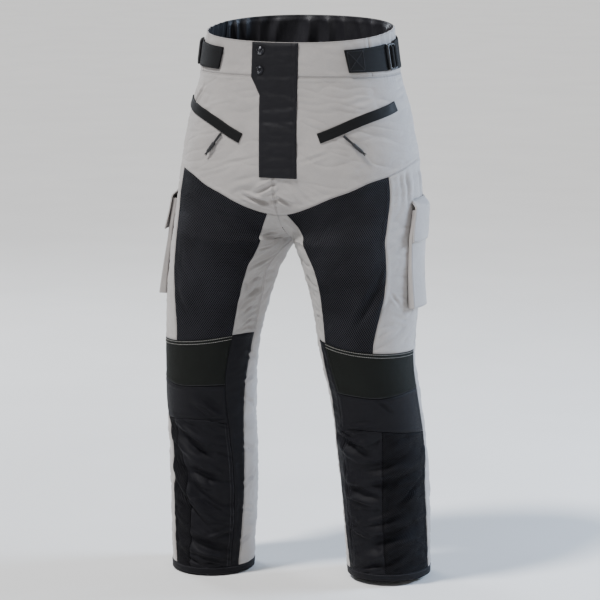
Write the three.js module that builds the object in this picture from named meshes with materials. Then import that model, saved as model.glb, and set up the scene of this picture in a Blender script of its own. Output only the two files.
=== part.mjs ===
import * as THREE from 'three';
import { mergeVertices } from 'three/addons/utils/BufferGeometryUtils.js';

// Motorcycle trousers in the hollow form they have when worn, in millimetres with +Z up.
// The origin is the centre of the waistband loop, the front faces -Y, and the wearer's left is at +X.

// Driving sizes
const WAIST_TOP = 30;
const WAIST_SEAM = -32;
const RISE_START = -205;
const CROTCH = -336;
const HEM_BAND = 14;
const BACK_RISE = 32;
const SQUARENESS = 2.25;
const CLOTH = 2;
const SEAM_GAP = 0.3;
const LAY_GAP = 0.45;
const STRAP_GAP = 0.8;
const WEBBING_WIDTH = 38;
const WEBBING = 1.4;
const WELT_WIDTH = 19;
const WELT_THICK = 1.8;
const PLACKET_THICK = 2.4;
const FLAP_THICK = 2;
const STUD_RADIUS = 7.6;
const BAR_RADIUS = 2.2;
const LEFT = 1;
const RIGHT = -1;

// Half sections of the trunk at several heights: a squarish oval, deeper behind than in front.
const TRUNK = [
  { h: 30, width: 176, front: 124, back: 128 },
  { h: -32, width: 188, front: 128, back: 136 },
  { h: -95, width: 206, front: 134, back: 150 },
  { h: -155, width: 219, front: 140, back: 160 },
  { h: -215, width: 228, front: 146, back: 162 },
  { h: -275, width: 234, front: 150, back: 158 },
  { h: -336, width: 238, front: 152, back: 150 },
];

// Oval sections of the legs: how far out and how far back each centre lies, and the two radii.
const LEG = [
  { h: -205, leftOut: 116, leftBack: -6, rightOut: 116, rightBack: -6, across: 116, deep: 140 },
  { h: -336, leftOut: 119, leftBack: -20, rightOut: 119, rightBack: -20, across: 119, deep: 132 },
  { h: -380, leftOut: 131, leftBack: -34, rightOut: 131, rightBack: -34, across: 108, deep: 119 },
  { h: -455, leftOut: 145, leftBack: -45, rightOut: 145, rightBack: -47, across: 97, deep: 106 },
  { h: -540, leftOut: 153, leftBack: -57, rightOut: 152, rightBack: -60, across: 88, deep: 94 },
  { h: -640, leftOut: 164, leftBack: -36, rightOut: 159, rightBack: -50, across: 85, deep: 88 },
  { h: -790, leftOut: 172, leftBack: -8, rightOut: 159, rightBack: -40, across: 84, deep: 87 },
  { h: -976, leftOut: 178, leftBack: 4, rightOut: 160, rightBack: -44, across: 78, deep: 83 },
];

// Seams that run down the garment. A place round a section is a share from 0 at the centre front
// or the inseam, through 0.5 at the outer side, to 1 at the centre back or the inseam again.
const INSEAM = [
  { h: 30, left: 0, right: 0 },
  { h: -336, left: 0, right: 0 },
  { h: -370, left: 0.05, right: 0.05 },
  { h: -448, left: 0.07, right: 0.042 },
  { h: -530, left: 0.112, right: 0.033 },
  { h: -610, left: 0.11, right: 0.056 },
  { h: -720, left: 0.086, right: 0.067 },
  { h: -860, left: 0.093, right: 0.073 },
  { h: -980, left: 0.122, right: 0.085 },
];
const INNER_LINE = [
  { h: 30, left: 0.08, right: 0.08 },
  { h: -150, left: 0.062, right: 0.062 },
  { h: -258, left: 0.024, right: 0.024 },
  { h: -288, left: 0.082, right: 0.068 },
  { h: -317, left: 0.14, right: 0.117 },
  { h: -360, left: 0.158, right: 0.125 },
  { h: -520, left: 0.148, right: 0.127 },
  { h: -612, left: 0.162, right: 0.142 },
  { h: -700, left: 0.15, right: 0.128 },
  { h: -860, left: 0.14, right: 0.112 },
  { h: -980, left: 0.152, right: 0.12 },
];
const FRONT_LINE = [
  { h: 30, left: 0.333, right: 0.333 },
  { h: -210, left: 0.333, right: 0.336 },
  { h: -255, left: 0.343, right: 0.36 },
  { h: -315, left: 0.374, right: 0.378 },
  { h: -380, left: 0.378, right: 0.37 },
  { h: -520, left: 0.326, right: 0.326 },
  { h: -610, left: 0.322, right: 0.34 },
  { h: -700, left: 0.31, right: 0.343 },
  { h: -765, left: 0.298, right: 0.305 },
  { h: -836, left: 0.29, right: 0.283 },
  { h: -980, left: 0.292, right: 0.284 },
];
const OUTSEAM = [
  { h: 30, left: 0.62, right: 0.62 },
  { h: -380, left: 0.6, right: 0.6 },
  { h: -480, left: 0.54, right: 0.54 },
  { h: -540, left: 0.51, right: 0.5 },
  { h: -620, left: 0.495, right: 0.46 },
  { h: -730, left: 0.505, right: 0.37 },
  { h: -800, left: 0.478, right: 0.371 },
  { h: -865, left: 0.487, right: 0.373 },
  { h: -980, left: 0.502, right: 0.362 },
];
const CENTRE_BACK = [
  { h: 30, left: 1, right: 1 },
  { h: -980, left: 1, right: 1 },
];

// Seams that run round the garment: the height at each place round it.
const YOKE_SEAM = [
  { u: 0, h: -262 },
  { u: 0.022, h: -260 },
  { u: 0.05, h: -256 },
  { u: 0.09, h: -248 },
  { u: 0.145, h: -236 },
  { u: 0.2, h: -228 },
  { u: 0.26, h: -218 },
  { u: 0.333, h: -211 },
  { u: 0.47, h: -194 },
  { u: 0.62, h: -190 },
  { u: 1, h: -190 },
];
const KNEE_TOP = [
  { u: 0, h: -516 },
  { u: 0.12, h: -514 },
  { u: 0.22, h: -521 },
  { u: 0.3, h: -526 },
  { u: 0.48, h: -532 },
  { u: 1, h: -516 },
];
const KNEE_BOTTOM = [
  { u: 0, h: -611 },
  { u: 0.22, h: -612 },
  { u: 0.31, h: -615 },
  { u: 0.46, h: -606 },
  { u: 1, h: -611 },
];
const SHIN_SEAM = [
  { u: 0, h: -690 },
  { u: 0.1, h: -690 },
  { u: 0.22, h: -678 },
  { u: 0.32, h: -680 },
  { u: 0.48, h: -690 },
  { u: 1, h: -690 },
];
const HEM = { left: -972, right: -979 };

// The grid that all panels share: each line is a seam, and cells is how many steps lead to it.
const COLUMNS = [
  { line: CENTRE_BACK, shift: -1, cells: 0 },
  { line: INSEAM, shift: 0, cells: 2 },
  { line: INNER_LINE, shift: 0, cells: 3 },
  { line: FRONT_LINE, shift: 0, cells: 6 },
  { line: OUTSEAM, shift: 0, cells: 6 },
  { line: CENTRE_BACK, shift: 0, cells: 7 },
];
const ROWS = [
  { height: () => WAIST_TOP, cells: 0 },
  { height: () => WAIST_SEAM, cells: 2 },
  { height: (u) => curve(YOKE_SEAM, 'u', 'h', u), cells: 6 },
  { height: () => CROTCH, cells: 5 },
  { height: (u) => curve(KNEE_TOP, 'u', 'h', u), cells: 7 },
  { height: (u) => curve(KNEE_BOTTOM, 'u', 'h', u), cells: 3 },
  { height: (u) => curve(SHIN_SEAM, 'u', 'h', u), cells: 3 },
  { height: (u, side) => hem(side) + HEM_BAND, cells: 12 },
  { height: (u, side) => hem(side), cells: 1 },
];
const COLUMN_AT = runningTotal(COLUMNS);
const ROW_AT = runningTotal(ROWS);
const [CENTRE, INNER, EDGE, FRONT, SIDE, REAR] = COLUMN_AT;
const WRAPPED = REAR + INNER;
const [TOP, WAIST, YOKE, FORK, KNEE, CALF, SHIN, BAND, FOOT] = ROW_AT;

// The largest folds: where each lies, how long and wide it is, how deep, and how it slopes.
// A negative depth is a trough between two soft ridges. The angle rises toward the outer side.
const FOLDS = [
  { side: RIGHT, u: 0.28, h: -724, length: 150, width: 62, depth: -4.5, angle: 32 },
  { side: RIGHT, u: 0.285, h: -822, length: 190, width: 64, depth: 4.5, angle: 48 },
  { side: RIGHT, u: 0.232, h: -786, length: 110, width: 54, depth: -3.5, angle: 20 },
  { side: RIGHT, u: 0.215, h: -922, length: 130, width: 56, depth: -4, angle: 14 },
  { side: RIGHT, u: 0.205, h: -656, length: 90, width: 50, depth: 2.6, angle: 38 },
  { side: LEFT, u: 0.19, h: -712, length: 120, width: 58, depth: -4, angle: -20 },
  { side: LEFT, u: 0.315, h: -762, length: 150, width: 60, depth: 4.5, angle: 16 },
  { side: LEFT, u: 0.211, h: -802, length: 110, width: 54, depth: -3.6, angle: -9 },
  { side: LEFT, u: 0.336, h: -884, length: 180, width: 62, depth: -4.5, angle: 18 },
  { side: LEFT, u: 0.26, h: -926, length: 100, width: 48, depth: 3, angle: 16 },
  { side: LEFT, u: 0.318, h: -440, length: 130, width: 56, depth: -3, angle: 57 },
  { side: RIGHT, u: 0.29, h: -452, length: 110, width: 54, depth: 2.6, angle: 56 },
  { side: RIGHT, u: 0.1, h: -372, length: 90, width: 50, depth: -3, angle: -32 },
  { side: RIGHT, u: 0.09, h: -440, length: 90, width: 46, depth: -3, angle: -35 },
  { side: LEFT, u: 0.1, h: -400, length: 80, width: 46, depth: -2.6, angle: -35 },
  { side: RIGHT, u: 0.8, h: -432, length: 150, width: 60, depth: -4, angle: 12 },
  { side: LEFT, u: 0.8, h: -436, length: 150, width: 60, depth: -4, angle: 8 },
  { side: RIGHT, u: 0.74, h: -560, length: 170, width: 56, depth: -4.5, angle: 8 },
  { side: LEFT, u: 0.76, h: -566, length: 170, width: 58, depth: -4.5, angle: -6 },
  { side: RIGHT, u: 0.72, h: -640, length: 150, width: 54, depth: 3.5, angle: -14 },
  { side: LEFT, u: 0.73, h: -634, length: 150, width: 54, depth: 3.5, angle: 16 },
  { side: RIGHT, u: 0.7, h: -760, length: 160, width: 60, depth: -4, angle: 24 },
  { side: LEFT, u: 0.72, h: -772, length: 150, width: 60, depth: -4, angle: -22 },
  { side: RIGHT, u: 0.68, h: -880, length: 150, width: 58, depth: 3.5, angle: -18 },
  { side: LEFT, u: 0.7, h: -890, length: 150, width: 58, depth: 3.5, angle: 20 },
];

// Gathers: waves of equal pitch, drawn in between two places and two heights.
const SIDE_GATHERS = { from: 0.345, to: 0.6, top: -200, peak: -224, bottom: -258, waves: 5, depth: 2.6 };
const ELASTIC_GATHERS = { from: 0.36, to: 0.62, waves: 6, depth: 1.3 };
const BACK_GATHERS = {
  waves: 13,
  depth: 3.4,
  cellsEachSide: 24,
  rows: 3,
  sway: 0.04,
  swayRate: 7.3,
  swayStart: 1.1,
  widening: 0.08,
  fadeRows: 1.6,
  endFade: 8,
};

// Pieces that lie on the panels
const PLACKET = [
  { h: 29, right: 0.073, left: 0.062 },
  { h: -34, right: 0.069, left: 0.058 },
  { h: -50, right: 0.053, left: 0.056 },
  { h: -66, right: 0.039, left: 0.055 },
  { h: -140, right: 0.033, left: 0.052 },
  { h: -211, right: 0.028, left: 0.053 },
];
const STUDS = [
  { name: 'stud_upper', u: 0.043, h: 14 },
  { name: 'stud_lower', u: 0.042, h: -21 },
];
// Half the section of a stud's cap, in its own radius: how far out and how high each corner lies.
const STUD_OUTLINE = [
  [0, 0], [1, 0], [1, 0.14], [0.9, 0.26], [0.78, 0.2], [0.7, 0.3], [0.4, 0.4], [0, 0.44],
];
const STUD_SEGMENTS = 20;
const WELT = {
  left: [{ u: 0.111, h: -141 }, { u: 0.235, h: -112 }, { u: 0.423, h: -87 }],
  right: [{ u: 0.085, h: -146 }, { u: 0.172, h: -122 }, { u: 0.41, h: -88 }],
};
const PULL = {
  left: { u: 0.187, h: -137, towardU: 0.252, towardH: -172 },
  right: { u: 0.152, h: -141, towardU: 0.205, towardH: -187 },
};
// Half the section of a zip pull: knot, cord, ribbed grip and cord end.
const PULL_OUTLINE = [
  [0, -1.6], [1.2, -1.1], [1.6, 0], [1.1, 1.4], [1, 3], [1, 20], [2, 21.5], [2.7, 24], [2.3, 27],
  [2.7, 30], [2.3, 33], [2.7, 36], [2.3, 39], [2.6, 42], [1.6, 44], [0.9, 45], [0.9, 51], [0, 51],
];
const PULL_SEGMENTS = 8;
const BUCKLE = { u: 0.452, h: -5, lift: 6.8, spacing: 11, halfHeight: 22.5 };
const STRAP_FRONT_END = { left: 0.226, right: 0.2, slant: 0.012 };
const STRAP_CELLS = 2;
const TURN_DEGREES = [-80, -45, -10, 25, 60, 95, 130, 160];
const STRAP_BACK_SEWN = 0.68;
const STRAP_BACK_FREE = 0.588;
const POCKET = { front: 0.45, rear: 0.7, top: -276, bottom: -452 };
const POCKET_DEPTH = [
  { h: -276, depth: 8 },
  { h: -340, depth: 7 },
  { h: -400, depth: 10 },
  { h: -452, depth: 13 },
];
const POCKET_GAP = 0.9;
const FLAP_GAP = 1.7;
const PULL_START_LIFT = 2.2;
const PULL_END_LIFT = 5.6;
const STRAP_MEETS_CLOTH = { ahead: 0.028, behind: 0.056 };
const FLAP = { front: 0.444, rear: 0.708, top: -258, bottom: -333, corner: 5, rise: 16 };

const LOOKS = {
  grey: { color: 0xbfbab7, roughness: 0.85, metalness: 0 },
  stretch: { color: 0xb9b5b3, roughness: 0.9, metalness: 0 },
  black: { color: 0x201e23, roughness: 0.85, metalness: 0 },
  mesh: { color: 0x19191b, roughness: 0.95, metalness: 0 },
  knee: { color: 0x20221f, roughness: 0.8, metalness: 0 },
  plastic: { color: 0x3a3a3d, roughness: 0.45, metalness: 0 },
  steel: { color: 0x4a4a4e, roughness: 0.35, metalness: 0.8 },
};

function runningTotal(lines) {
  let total = 0;
  return lines.map((line) => {
    total += line.cells;
    return total;
  });
}

function hem(side) {
  return side > 0 ? HEM.left : HEM.right;
}

// A smooth curve through the rows of a table, from one column to another, level past its ends.
function curve(rows, from, to, at) {
  const sign = rows[1][from] > rows[0][from] ? 1 : -1;
  const last = rows.length - 1;
  const x = (i) => sign * rows[i][from];
  const slope = (i) => (rows[i + 1][to] - rows[i][to]) / (x(i + 1) - x(i));
  const tangent = (i) => {
    if (i === 0) return slope(0);
    if (i === last) return slope(last - 1);
    const before = x(i) - x(i - 1);
    const after = x(i + 1) - x(i);
    return (slope(i - 1) * after + slope(i) * before) / (before + after);
  };
  const place = sign * at;
  let i = 0;
  while (i < last - 1 && place >= x(i + 1)) i += 1;
  const width = x(i + 1) - x(i);
  const t = THREE.MathUtils.clamp((place - x(i)) / width, 0, 1);
  const start = rows[i][to] * (1 + 2 * t) * (1 - t) ** 2 + tangent(i) * width * t * (1 - t) ** 2;
  const end = rows[i + 1][to] * t * t * (3 - 2 * t) + tangent(i + 1) * width * t * t * (t - 1);
  return start + end;
}

function smooth(t) {
  const s = THREE.MathUtils.clamp(t, 0, 1);
  return s * s * (3 - 2 * s);
}

// The smooth form of the garment at a place round it and a height down it. Between the hips and
// the crotch the trunk section turns into two leg sections, and the centre seams dip between them.
function form(side, u, h) {
  const phi = Math.PI * u;
  const power = 2 / SQUARENESS;
  const deep = curve(TRUNK, 'h', u < 0.5 ? 'front' : 'back', h);
  const trunkX = curve(TRUNK, 'h', 'width', h) * Math.abs(Math.sin(phi)) ** power;
  const trunkY = -deep * Math.sign(Math.cos(phi)) * Math.abs(Math.cos(phi)) ** power;
  const psi = 2 * Math.PI * u - Math.PI / 2;
  const out = curve(LEG, 'h', side > 0 ? 'leftOut' : 'rightOut', h);
  const back = curve(LEG, 'h', side > 0 ? 'leftBack' : 'rightBack', h);
  const legX = out + curve(LEG, 'h', 'across', h) * Math.sin(psi);
  const legY = back - curve(LEG, 'h', 'deep', h) * Math.cos(psi);
  const fall = THREE.MathUtils.clamp((h - RISE_START) / (CROTCH - RISE_START), 0, 1);
  const turn = fall * Math.PI / 2;
  const centred = Math.cos(phi) ** 8;
  const share = centred * (1 - Math.cos(turn)) + (1 - centred) * smooth(fall ** 1.5);
  const dips = h < RISE_START && h > CROTCH;
  const dip = dips ? RISE_START + (CROTCH - RISE_START) * Math.sin(turn) - h : 0;
  const rise = BACK_RISE * (1 - Math.cos(phi)) / 2;
  const lift = rise * smooth((h - WAIST_SEAM) / (WAIST_TOP - WAIST_SEAM));
  const x = (1 - share) * trunkX + share * legX;
  const y = (1 - share) * trunkY + share * legY;
  return new THREE.Vector3(side * x, y, h + dip * Math.cos(phi) ** 2 + lift);
}

// The form past its centre seams: above the crotch it goes on as the other half, below it wraps.
function formAround(side, u, h) {
  if (u >= 0 && u <= 1) return form(side, u, h);
  if (h <= CROTCH) return form(side, u - Math.floor(u), h);
  const mirrored = form(side, u < 0 ? -u : 2 - u, h);
  mirrored.x *= -1;
  return mirrored;
}

function outward(side, u, h) {
  if (h === CROTCH && (u === 0 || u === 1)) return new THREE.Vector3(-0.6 * side, 0, -0.8);
  const stepU = 0.004;
  const stepH = 1.5;
  const along = formAround(side, u + stepU, h).sub(formAround(side, u - stepU, h));
  const up = formAround(side, u, h + stepH).sub(formAround(side, u, h - stepH));
  return along.cross(up).multiplyScalar(side).normalize();
}

function girth(side, h) {
  const steps = 48;
  let total = 0;
  for (let i = 0; i < steps; i += 1) {
    total += form(side, i / steps, h).distanceTo(form(side, (i + 1) / steps, h));
  }
  return total;
}

const FOLD_GIRTHS = FOLDS.map((fold) => girth(fold.side, fold.h));

function foldHeight(fold, scale, u, h) {
  const across = (u - fold.u) * scale;
  const up = h - fold.h;
  const angle = THREE.MathUtils.degToRad(fold.angle);
  const t = (across * Math.cos(angle) + up * Math.sin(angle)) / (fold.length / 2);
  const v = (up * Math.cos(angle) - across * Math.sin(angle)) / (fold.width / 2);
  if (Math.abs(t) >= 1 || Math.abs(v) >= 1) return 0;
  return fold.depth * (1 - t * t) ** 2 * Math.cos(1.5 * Math.PI * v) * (1 - v * v);
}

function sideGather(u, h) {
  const g = SIDE_GATHERS;
  if (u <= g.from || u >= g.to || h <= g.bottom) return 0;
  const place = (u - g.from) / (g.to - g.from);
  const above = smooth((g.top - 12 * place - h) / 26);
  const below = smooth((h - g.bottom) / (g.peak - g.bottom));
  const fade = h > g.peak ? above : below;
  return g.depth * fade * Math.sin(2 * Math.PI * g.waves * place) * Math.sin(Math.PI * place) ** 0.5;
}

function elasticGather(u, h) {
  const g = ELASTIC_GATHERS;
  if (u <= g.from || u >= g.to || h <= WAIST_SEAM) return 0;
  const place = (u - g.from) / (g.to - g.from);
  const fade = smooth((h - WAIST_SEAM) / 24) * Math.min(1, 6 * place) * Math.min(1, 6 * (1 - place));
  return -g.depth * fade * (0.5 + 0.5 * Math.sin(2 * Math.PI * g.waves * place));
}

function relief(side, u, h) {
  let total = sideGather(u, h) + elasticGather(u, h);
  FOLDS.forEach((fold, i) => {
    if (fold.side === side) total += foldHeight(fold, FOLD_GIRTHS[i], u, h);
  });
  return total;
}

// A point on the cloth's outer face, with the direction that points outward.
function onCloth(side, u, h) {
  const normal = outward(side, u, h);
  return { point: form(side, u, h).addScaledVector(normal, relief(side, u, h)), normal };
}

// A point lifted off the smooth form, for what lies on the cloth and bridges its small gathers.
function overCloth(side, u, h, lift = 0) {
  const normal = outward(side, u, h);
  return { point: form(side, u, h).addScaledVector(normal, lift), normal };
}

// Places in the shared grid: a column and a row give a share round the section and a height.
function bracket(stops, at) {
  let i = 0;
  while (i < stops.length - 2 && at >= stops[i + 1]) i += 1;
  return { i, part: (at - stops[i]) / (stops[i + 1] - stops[i]) };
}

function shareAt(side, column, h) {
  const wrapped = column > REAR ? column - REAR : column;
  const { i, part } = bracket(COLUMN_AT, wrapped);
  const key = side > 0 ? 'left' : 'right';
  const line = (k) => Math.max(0, curve(COLUMNS[k].line, 'h', key, h) + COLUMNS[k].shift);
  return THREE.MathUtils.lerp(line(i), line(i + 1), part);
}

function heightAt(side, row, u) {
  const { i, part } = bracket(ROW_AT, row);
  return THREE.MathUtils.lerp(ROWS[i].height(u, side), ROWS[i + 1].height(u, side), part);
}

function gridPlace(side, column, row) {
  let u = 0.3;
  let h = 0;
  for (let pass = 0; pass < 12; pass += 1) {
    h = heightAt(side, row, u);
    u = shareAt(side, column, h);
  }
  return { u, h };
}

// A closed wall of cloth from a sheet of four-sided cells. Its free edges draw back by half a
// seam gap, and its inner face lies one thickness inside the outer one.
function wall(sheet, { thickness = CLOTH, drawBack = SEAM_GAP / 2, keepSide = 0 } = {}) {
  const { points, normals, cells } = joinedSheet(sheet);
  const edges = freeEdges(cells);
  const moved = points.map((point) => point.clone());
  shiftAtEdges(points, normals, edges, drawBack).forEach((shift, i) => moved[i].add(shift));
  const inner = moved.map((point, i) => point.clone().addScaledVector(normals[i], -thickness));
  const all = [...moved, ...inner];
  if (keepSide) all.forEach((point) => keepClearOfCentre(point, keepSide));
  const back = points.length;
  const index = [];
  cells.forEach((cell) => {
    for (let k = 1; k + 1 < cell.length; k += 1) {
      index.push(cell[0], cell[k], cell[k + 1]);
      index.push(back + cell[0], back + cell[k + 1], back + cell[k]);
    }
  });
  edges.forEach(([a, b]) => {
    const falls = moved[a].z > moved[b].z;
    if (falls) index.push(b, a, back + a, b, back + a, back + b);
    else index.push(b, a, back + b, a, back + a, back + b);
  });
  return solidGeometry(all, index);
}

function solidGeometry(points, index) {
  const geometry = new THREE.BufferGeometry();
  const coordinates = points.flatMap((p) => p.toArray());
  geometry.setAttribute('position', new THREE.Float32BufferAttribute(coordinates, 3));
  geometry.setIndex(index);
  geometry.computeVertexNormals();
  return geometry;
}

function keepClearOfCentre(point, side) {
  if (side * point.x < SEAM_GAP / 2) point.x = side * SEAM_GAP / 2;
}

// Points that meet become one, and a cell that loses a corner that way becomes a triangle.
function joinedSheet({ points, normals, cells }) {
  const seen = new Map();
  const kept = [];
  const keptNormals = [];
  const target = points.map((point, i) => {
    const key = point.toArray().map((value) => Math.round(value * 200)).join();
    if (!seen.has(key)) {
      seen.set(key, kept.length);
      kept.push(point);
      keptNormals.push(normals[i]);
    }
    return seen.get(key);
  });
  const joined = cells
    .map((cell) => cell.map((i) => target[i]).filter((i, k, all) => i !== all[(k + 1) % all.length]))
    .filter((cell) => cell.length > 2);
  return { points: kept, normals: keptNormals, cells: joined };
}

function freeEdges(cells) {
  const directed = new Map();
  cells.forEach((cell) => cell.forEach((a, k) => {
    const b = cell[(k + 1) % cell.length];
    directed.set(`${a},${b}`, [a, b]);
  }));
  return [...directed.values()].filter(([a, b]) => !directed.has(`${b},${a}`));
}

function shiftAtEdges(points, normals, edges, distance) {
  const inward = points.map(() => []);
  edges.forEach(([a, b]) => {
    const along = points[b].clone().sub(points[a]);
    [a, b].forEach((i) => inward[i].push(normals[i].clone().cross(along).normalize()));
  });
  return inward.map((sides) => {
    const shift = new THREE.Vector3();
    if (sides.length < 2) return shift;
    shift.add(sides[0]).add(sides[1]);
    const spread = Math.max(0.4, 1 + sides[0].dot(sides[1]));
    return shift.multiplyScalar(distance / spread);
  });
}

// A sheet whose points stand in columns and rows; flip turns its faces for the mirrored half.
function gridSheet(columns, rows, pointAt, { flip = false, skip = () => false } = {}) {
  const points = [];
  const normals = [];
  for (let i = 0; i <= columns; i += 1) {
    for (let j = 0; j <= rows; j += 1) {
      const { point, normal } = pointAt(i, j);
      points.push(point);
      normals.push(normal);
    }
  }
  const at = (i, j) => i * (rows + 1) + j;
  const cells = [];
  for (let i = 0; i < columns; i += 1) {
    for (let j = 0; j < rows; j += 1) {
      if (skip(i, j)) continue;
      const cell = [at(i, j), at(i, j + 1), at(i + 1, j + 1), at(i + 1, j)];
      cells.push(flip ? cell.reverse() : cell);
    }
  }
  return { points, normals, cells };
}

// One panel of the shared grid, from one column to another and one row to another. A finer panel
// keeps its neighbours' straight steps along its first and last row.
function panel(side, { from, to, top, bottom, fine = 1, wrapBelow = Infinity }) {
  const columns = (to - from) * fine;
  const gridPoint = (column, row) => {
    const { u, h } = gridPlace(side, column, row > wrapBelow || column <= REAR ? row : wrapBelow);
    return onCloth(side, u, h);
  };
  const pointAt = (i, j) => {
    const column = from + i / fine;
    const row = top + j;
    if (i % fine === 0 || (row !== top && row !== bottom)) return gridPoint(column, row);
    const before = gridPoint(Math.floor(column), row);
    const after = gridPoint(Math.floor(column) + 1, row);
    return between(before, after, column - Math.floor(column));
  };
  const skip = (i, j) => from + i / fine >= REAR && top + j < wrapBelow;
  const sheet = gridSheet(columns, bottom - top, pointAt, { flip: side < 0, skip });
  return wall(droppedUnused(sheet), { keepSide: side });
}

function between(before, after, part) {
  return {
    point: before.point.clone().lerp(after.point, part),
    normal: before.normal.clone().lerp(after.normal, part).normalize(),
  };
}

function droppedUnused({ points, normals, cells }) {
  const used = [...new Set(cells.flat())];
  const place = new Map(used.map((old, i) => [old, i]));
  return {
    points: used.map((i) => points[i]),
    normals: used.map((i) => normals[i]),
    cells: cells.map((cell) => cell.map((i) => place.get(i))),
  };
}

const PANELS = [
  { name: 'waistband_front', look: 'grey', from: INNER, to: FRONT, top: TOP, bottom: WAIST },
  { name: 'waistband_side', look: 'grey', from: FRONT, to: SIDE, top: TOP, bottom: WAIST, fine: 3 },
  { name: 'yoke', look: 'grey', from: INNER, to: SIDE, top: WAIST, bottom: YOKE },
  { name: 'thigh_mesh', look: 'mesh', from: EDGE, to: FRONT, top: YOKE, bottom: KNEE },
  { name: 'inner_thigh', look: 'stretch', from: INNER, to: EDGE, top: YOKE, bottom: KNEE },
  { name: 'side_panel', look: 'grey', from: FRONT, to: SIDE, top: YOKE, bottom: KNEE, fine: 3 },
  { name: 'knee', look: 'knee', from: EDGE, to: SIDE, top: KNEE, bottom: CALF },
  { name: 'inner_strip', look: 'black', from: INNER, to: EDGE, top: KNEE, bottom: BAND },
  { name: 'upper_shin', look: 'black', from: EDGE, to: SIDE, top: CALF, bottom: SHIN },
  { name: 'shin', look: 'black', from: EDGE, to: FRONT, top: SHIN, bottom: BAND },
  { name: 'calf_mesh', look: 'mesh', from: FRONT, to: SIDE, top: SHIN, bottom: BAND },
  { name: 'back', look: 'grey', from: SIDE, to: WRAPPED, top: WAIST, bottom: BAND, wrapBelow: FORK },
  { name: 'hem', look: 'black', from: CENTRE, to: REAR, top: BAND, bottom: FOOT },
];

// The back waistband runs from one side, round the centre back, to the other, in uneven gathers.
function backWaistband() {
  const { waves, depth, cellsEachSide, rows } = BACK_GATHERS;
  const start = curve(OUTSEAM, 'h', 'left', WAIST_TOP);
  const pointAt = (i, j) => {
    const place = i / cellsEachSide - 1;
    const side = place < 0 ? LEFT : RIGHT;
    const u = 1 - (1 - start) * Math.abs(place);
    const h = THREE.MathUtils.lerp(WAIST_TOP, WAIST_SEAM, j / rows);
    const bend = BACK_GATHERS.sway * Math.sin(BACK_GATHERS.swayRate * place + BACK_GATHERS.swayStart);
    const wave = Math.sin(Math.PI * waves * (place + bend) * (1 + BACK_GATHERS.widening * place));
    const atEnds = smooth(BACK_GATHERS.endFade * (1 - Math.abs(place)));
    const fade = smooth((rows - j) / BACK_GATHERS.fadeRows) * atEnds;
    const { point, normal } = onCloth(side, u, h);
    return { point: point.addScaledVector(normal, depth * (0.5 * wave - 0.5) * fade), normal };
  };
  return wall(gridSheet(2 * cellsEachSide, rows, pointAt));
}

// A signed place counts out from the centre front: positive to the wearer's left.
function onFront(place, h, lift) {
  return overCloth(place < 0 ? RIGHT : LEFT, Math.abs(place), h, lift);
}

function flyPlacket() {
  const across = 8;
  const down = 12;
  const last = PLACKET[PLACKET.length - 1].h;
  const pointAt = (i, j) => {
    const h = THREE.MathUtils.lerp(PLACKET[0].h, last, j / down);
    const right = -curve(PLACKET, 'h', 'right', h);
    const left = curve(PLACKET, 'h', 'left', h);
    return onFront(THREE.MathUtils.lerp(right, left, i / across), h, LAY_GAP + PLACKET_THICK);
  };
  return wall(gridSheet(across, down, pointAt), { thickness: PLACKET_THICK, drawBack: 0 });
}

function turnedTo(geometry, point, direction) {
  const turn = new THREE.Quaternion().setFromUnitVectors(new THREE.Vector3(0, 1, 0), direction);
  geometry.applyQuaternion(turn);
  geometry.translate(point.x, point.y, point.z);
  return geometry;
}

// A press stud's cap: a rolled rim round a low dome.
function stud({ u, h }) {
  const profile = STUD_OUTLINE.map(([out, up]) => new THREE.Vector2(out * STUD_RADIUS, up * STUD_RADIUS));
  const { point, normal } = onFront(-u, h, LAY_GAP + PLACKET_THICK + LAY_GAP);
  return turnedTo(closedLathe(profile, STUD_SEGMENTS), point, normal);
}

function closedLathe(profile, segments) {
  const lathe = new THREE.LatheGeometry(profile, segments);
  lathe.deleteAttribute('normal');
  lathe.deleteAttribute('uv');
  const merged = mergeVertices(lathe, 0.001);
  const index = [...merged.index.array];
  const kept = [];
  for (let i = 0; i < index.length; i += 3) {
    const [a, b, c] = index.slice(i, i + 3);
    if (a !== b && b !== c && c !== a) kept.push(a, b, c);
  }
  merged.setIndex(kept);
  merged.computeVertexNormals();
  return merged;
}

// A strip of even width along a line of places on the cloth.
function welt(side) {
  const places = side > 0 ? WELT.left : WELT.right;
  const steps = 14;
  const start = places[0].u;
  const end = places[places.length - 1].u;
  const centre = (i) => {
    const u = THREE.MathUtils.lerp(start, end, i / steps);
    return overCloth(side, u, curve(places, 'u', 'h', u), LAY_GAP + WELT_THICK);
  };
  const pointAt = (i, j) => {
    const { point, normal } = centre(i);
    const along = centre(Math.min(i + 1, steps)).point.sub(centre(Math.max(i - 1, 0)).point);
    const across = normal.clone().cross(along).normalize().multiplyScalar(side * WELT_WIDTH * (0.5 - j));
    return { point: point.add(across), normal };
  };
  const sheet = gridSheet(steps, 1, pointAt, { flip: side < 0 });
  return wall(sheet, { thickness: WELT_THICK, drawBack: 0 });
}

// A zip pull: a loop's knot at its hinge, a thin cord, a ribbed grip and a short cord end.
function zipPull(side) {
  const place = side > 0 ? PULL.left : PULL.right;
  const start = overCloth(side, place.u, place.h, PULL_START_LIFT).point;
  const end = overCloth(side, place.towardU, place.towardH, PULL_END_LIFT).point;
  const points = PULL_OUTLINE.map(([out, along]) => new THREE.Vector2(out, along));
  const direction = end.clone().sub(start).normalize();
  return turnedTo(closedLathe(points, PULL_SEGMENTS), start, direction);
}

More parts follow.
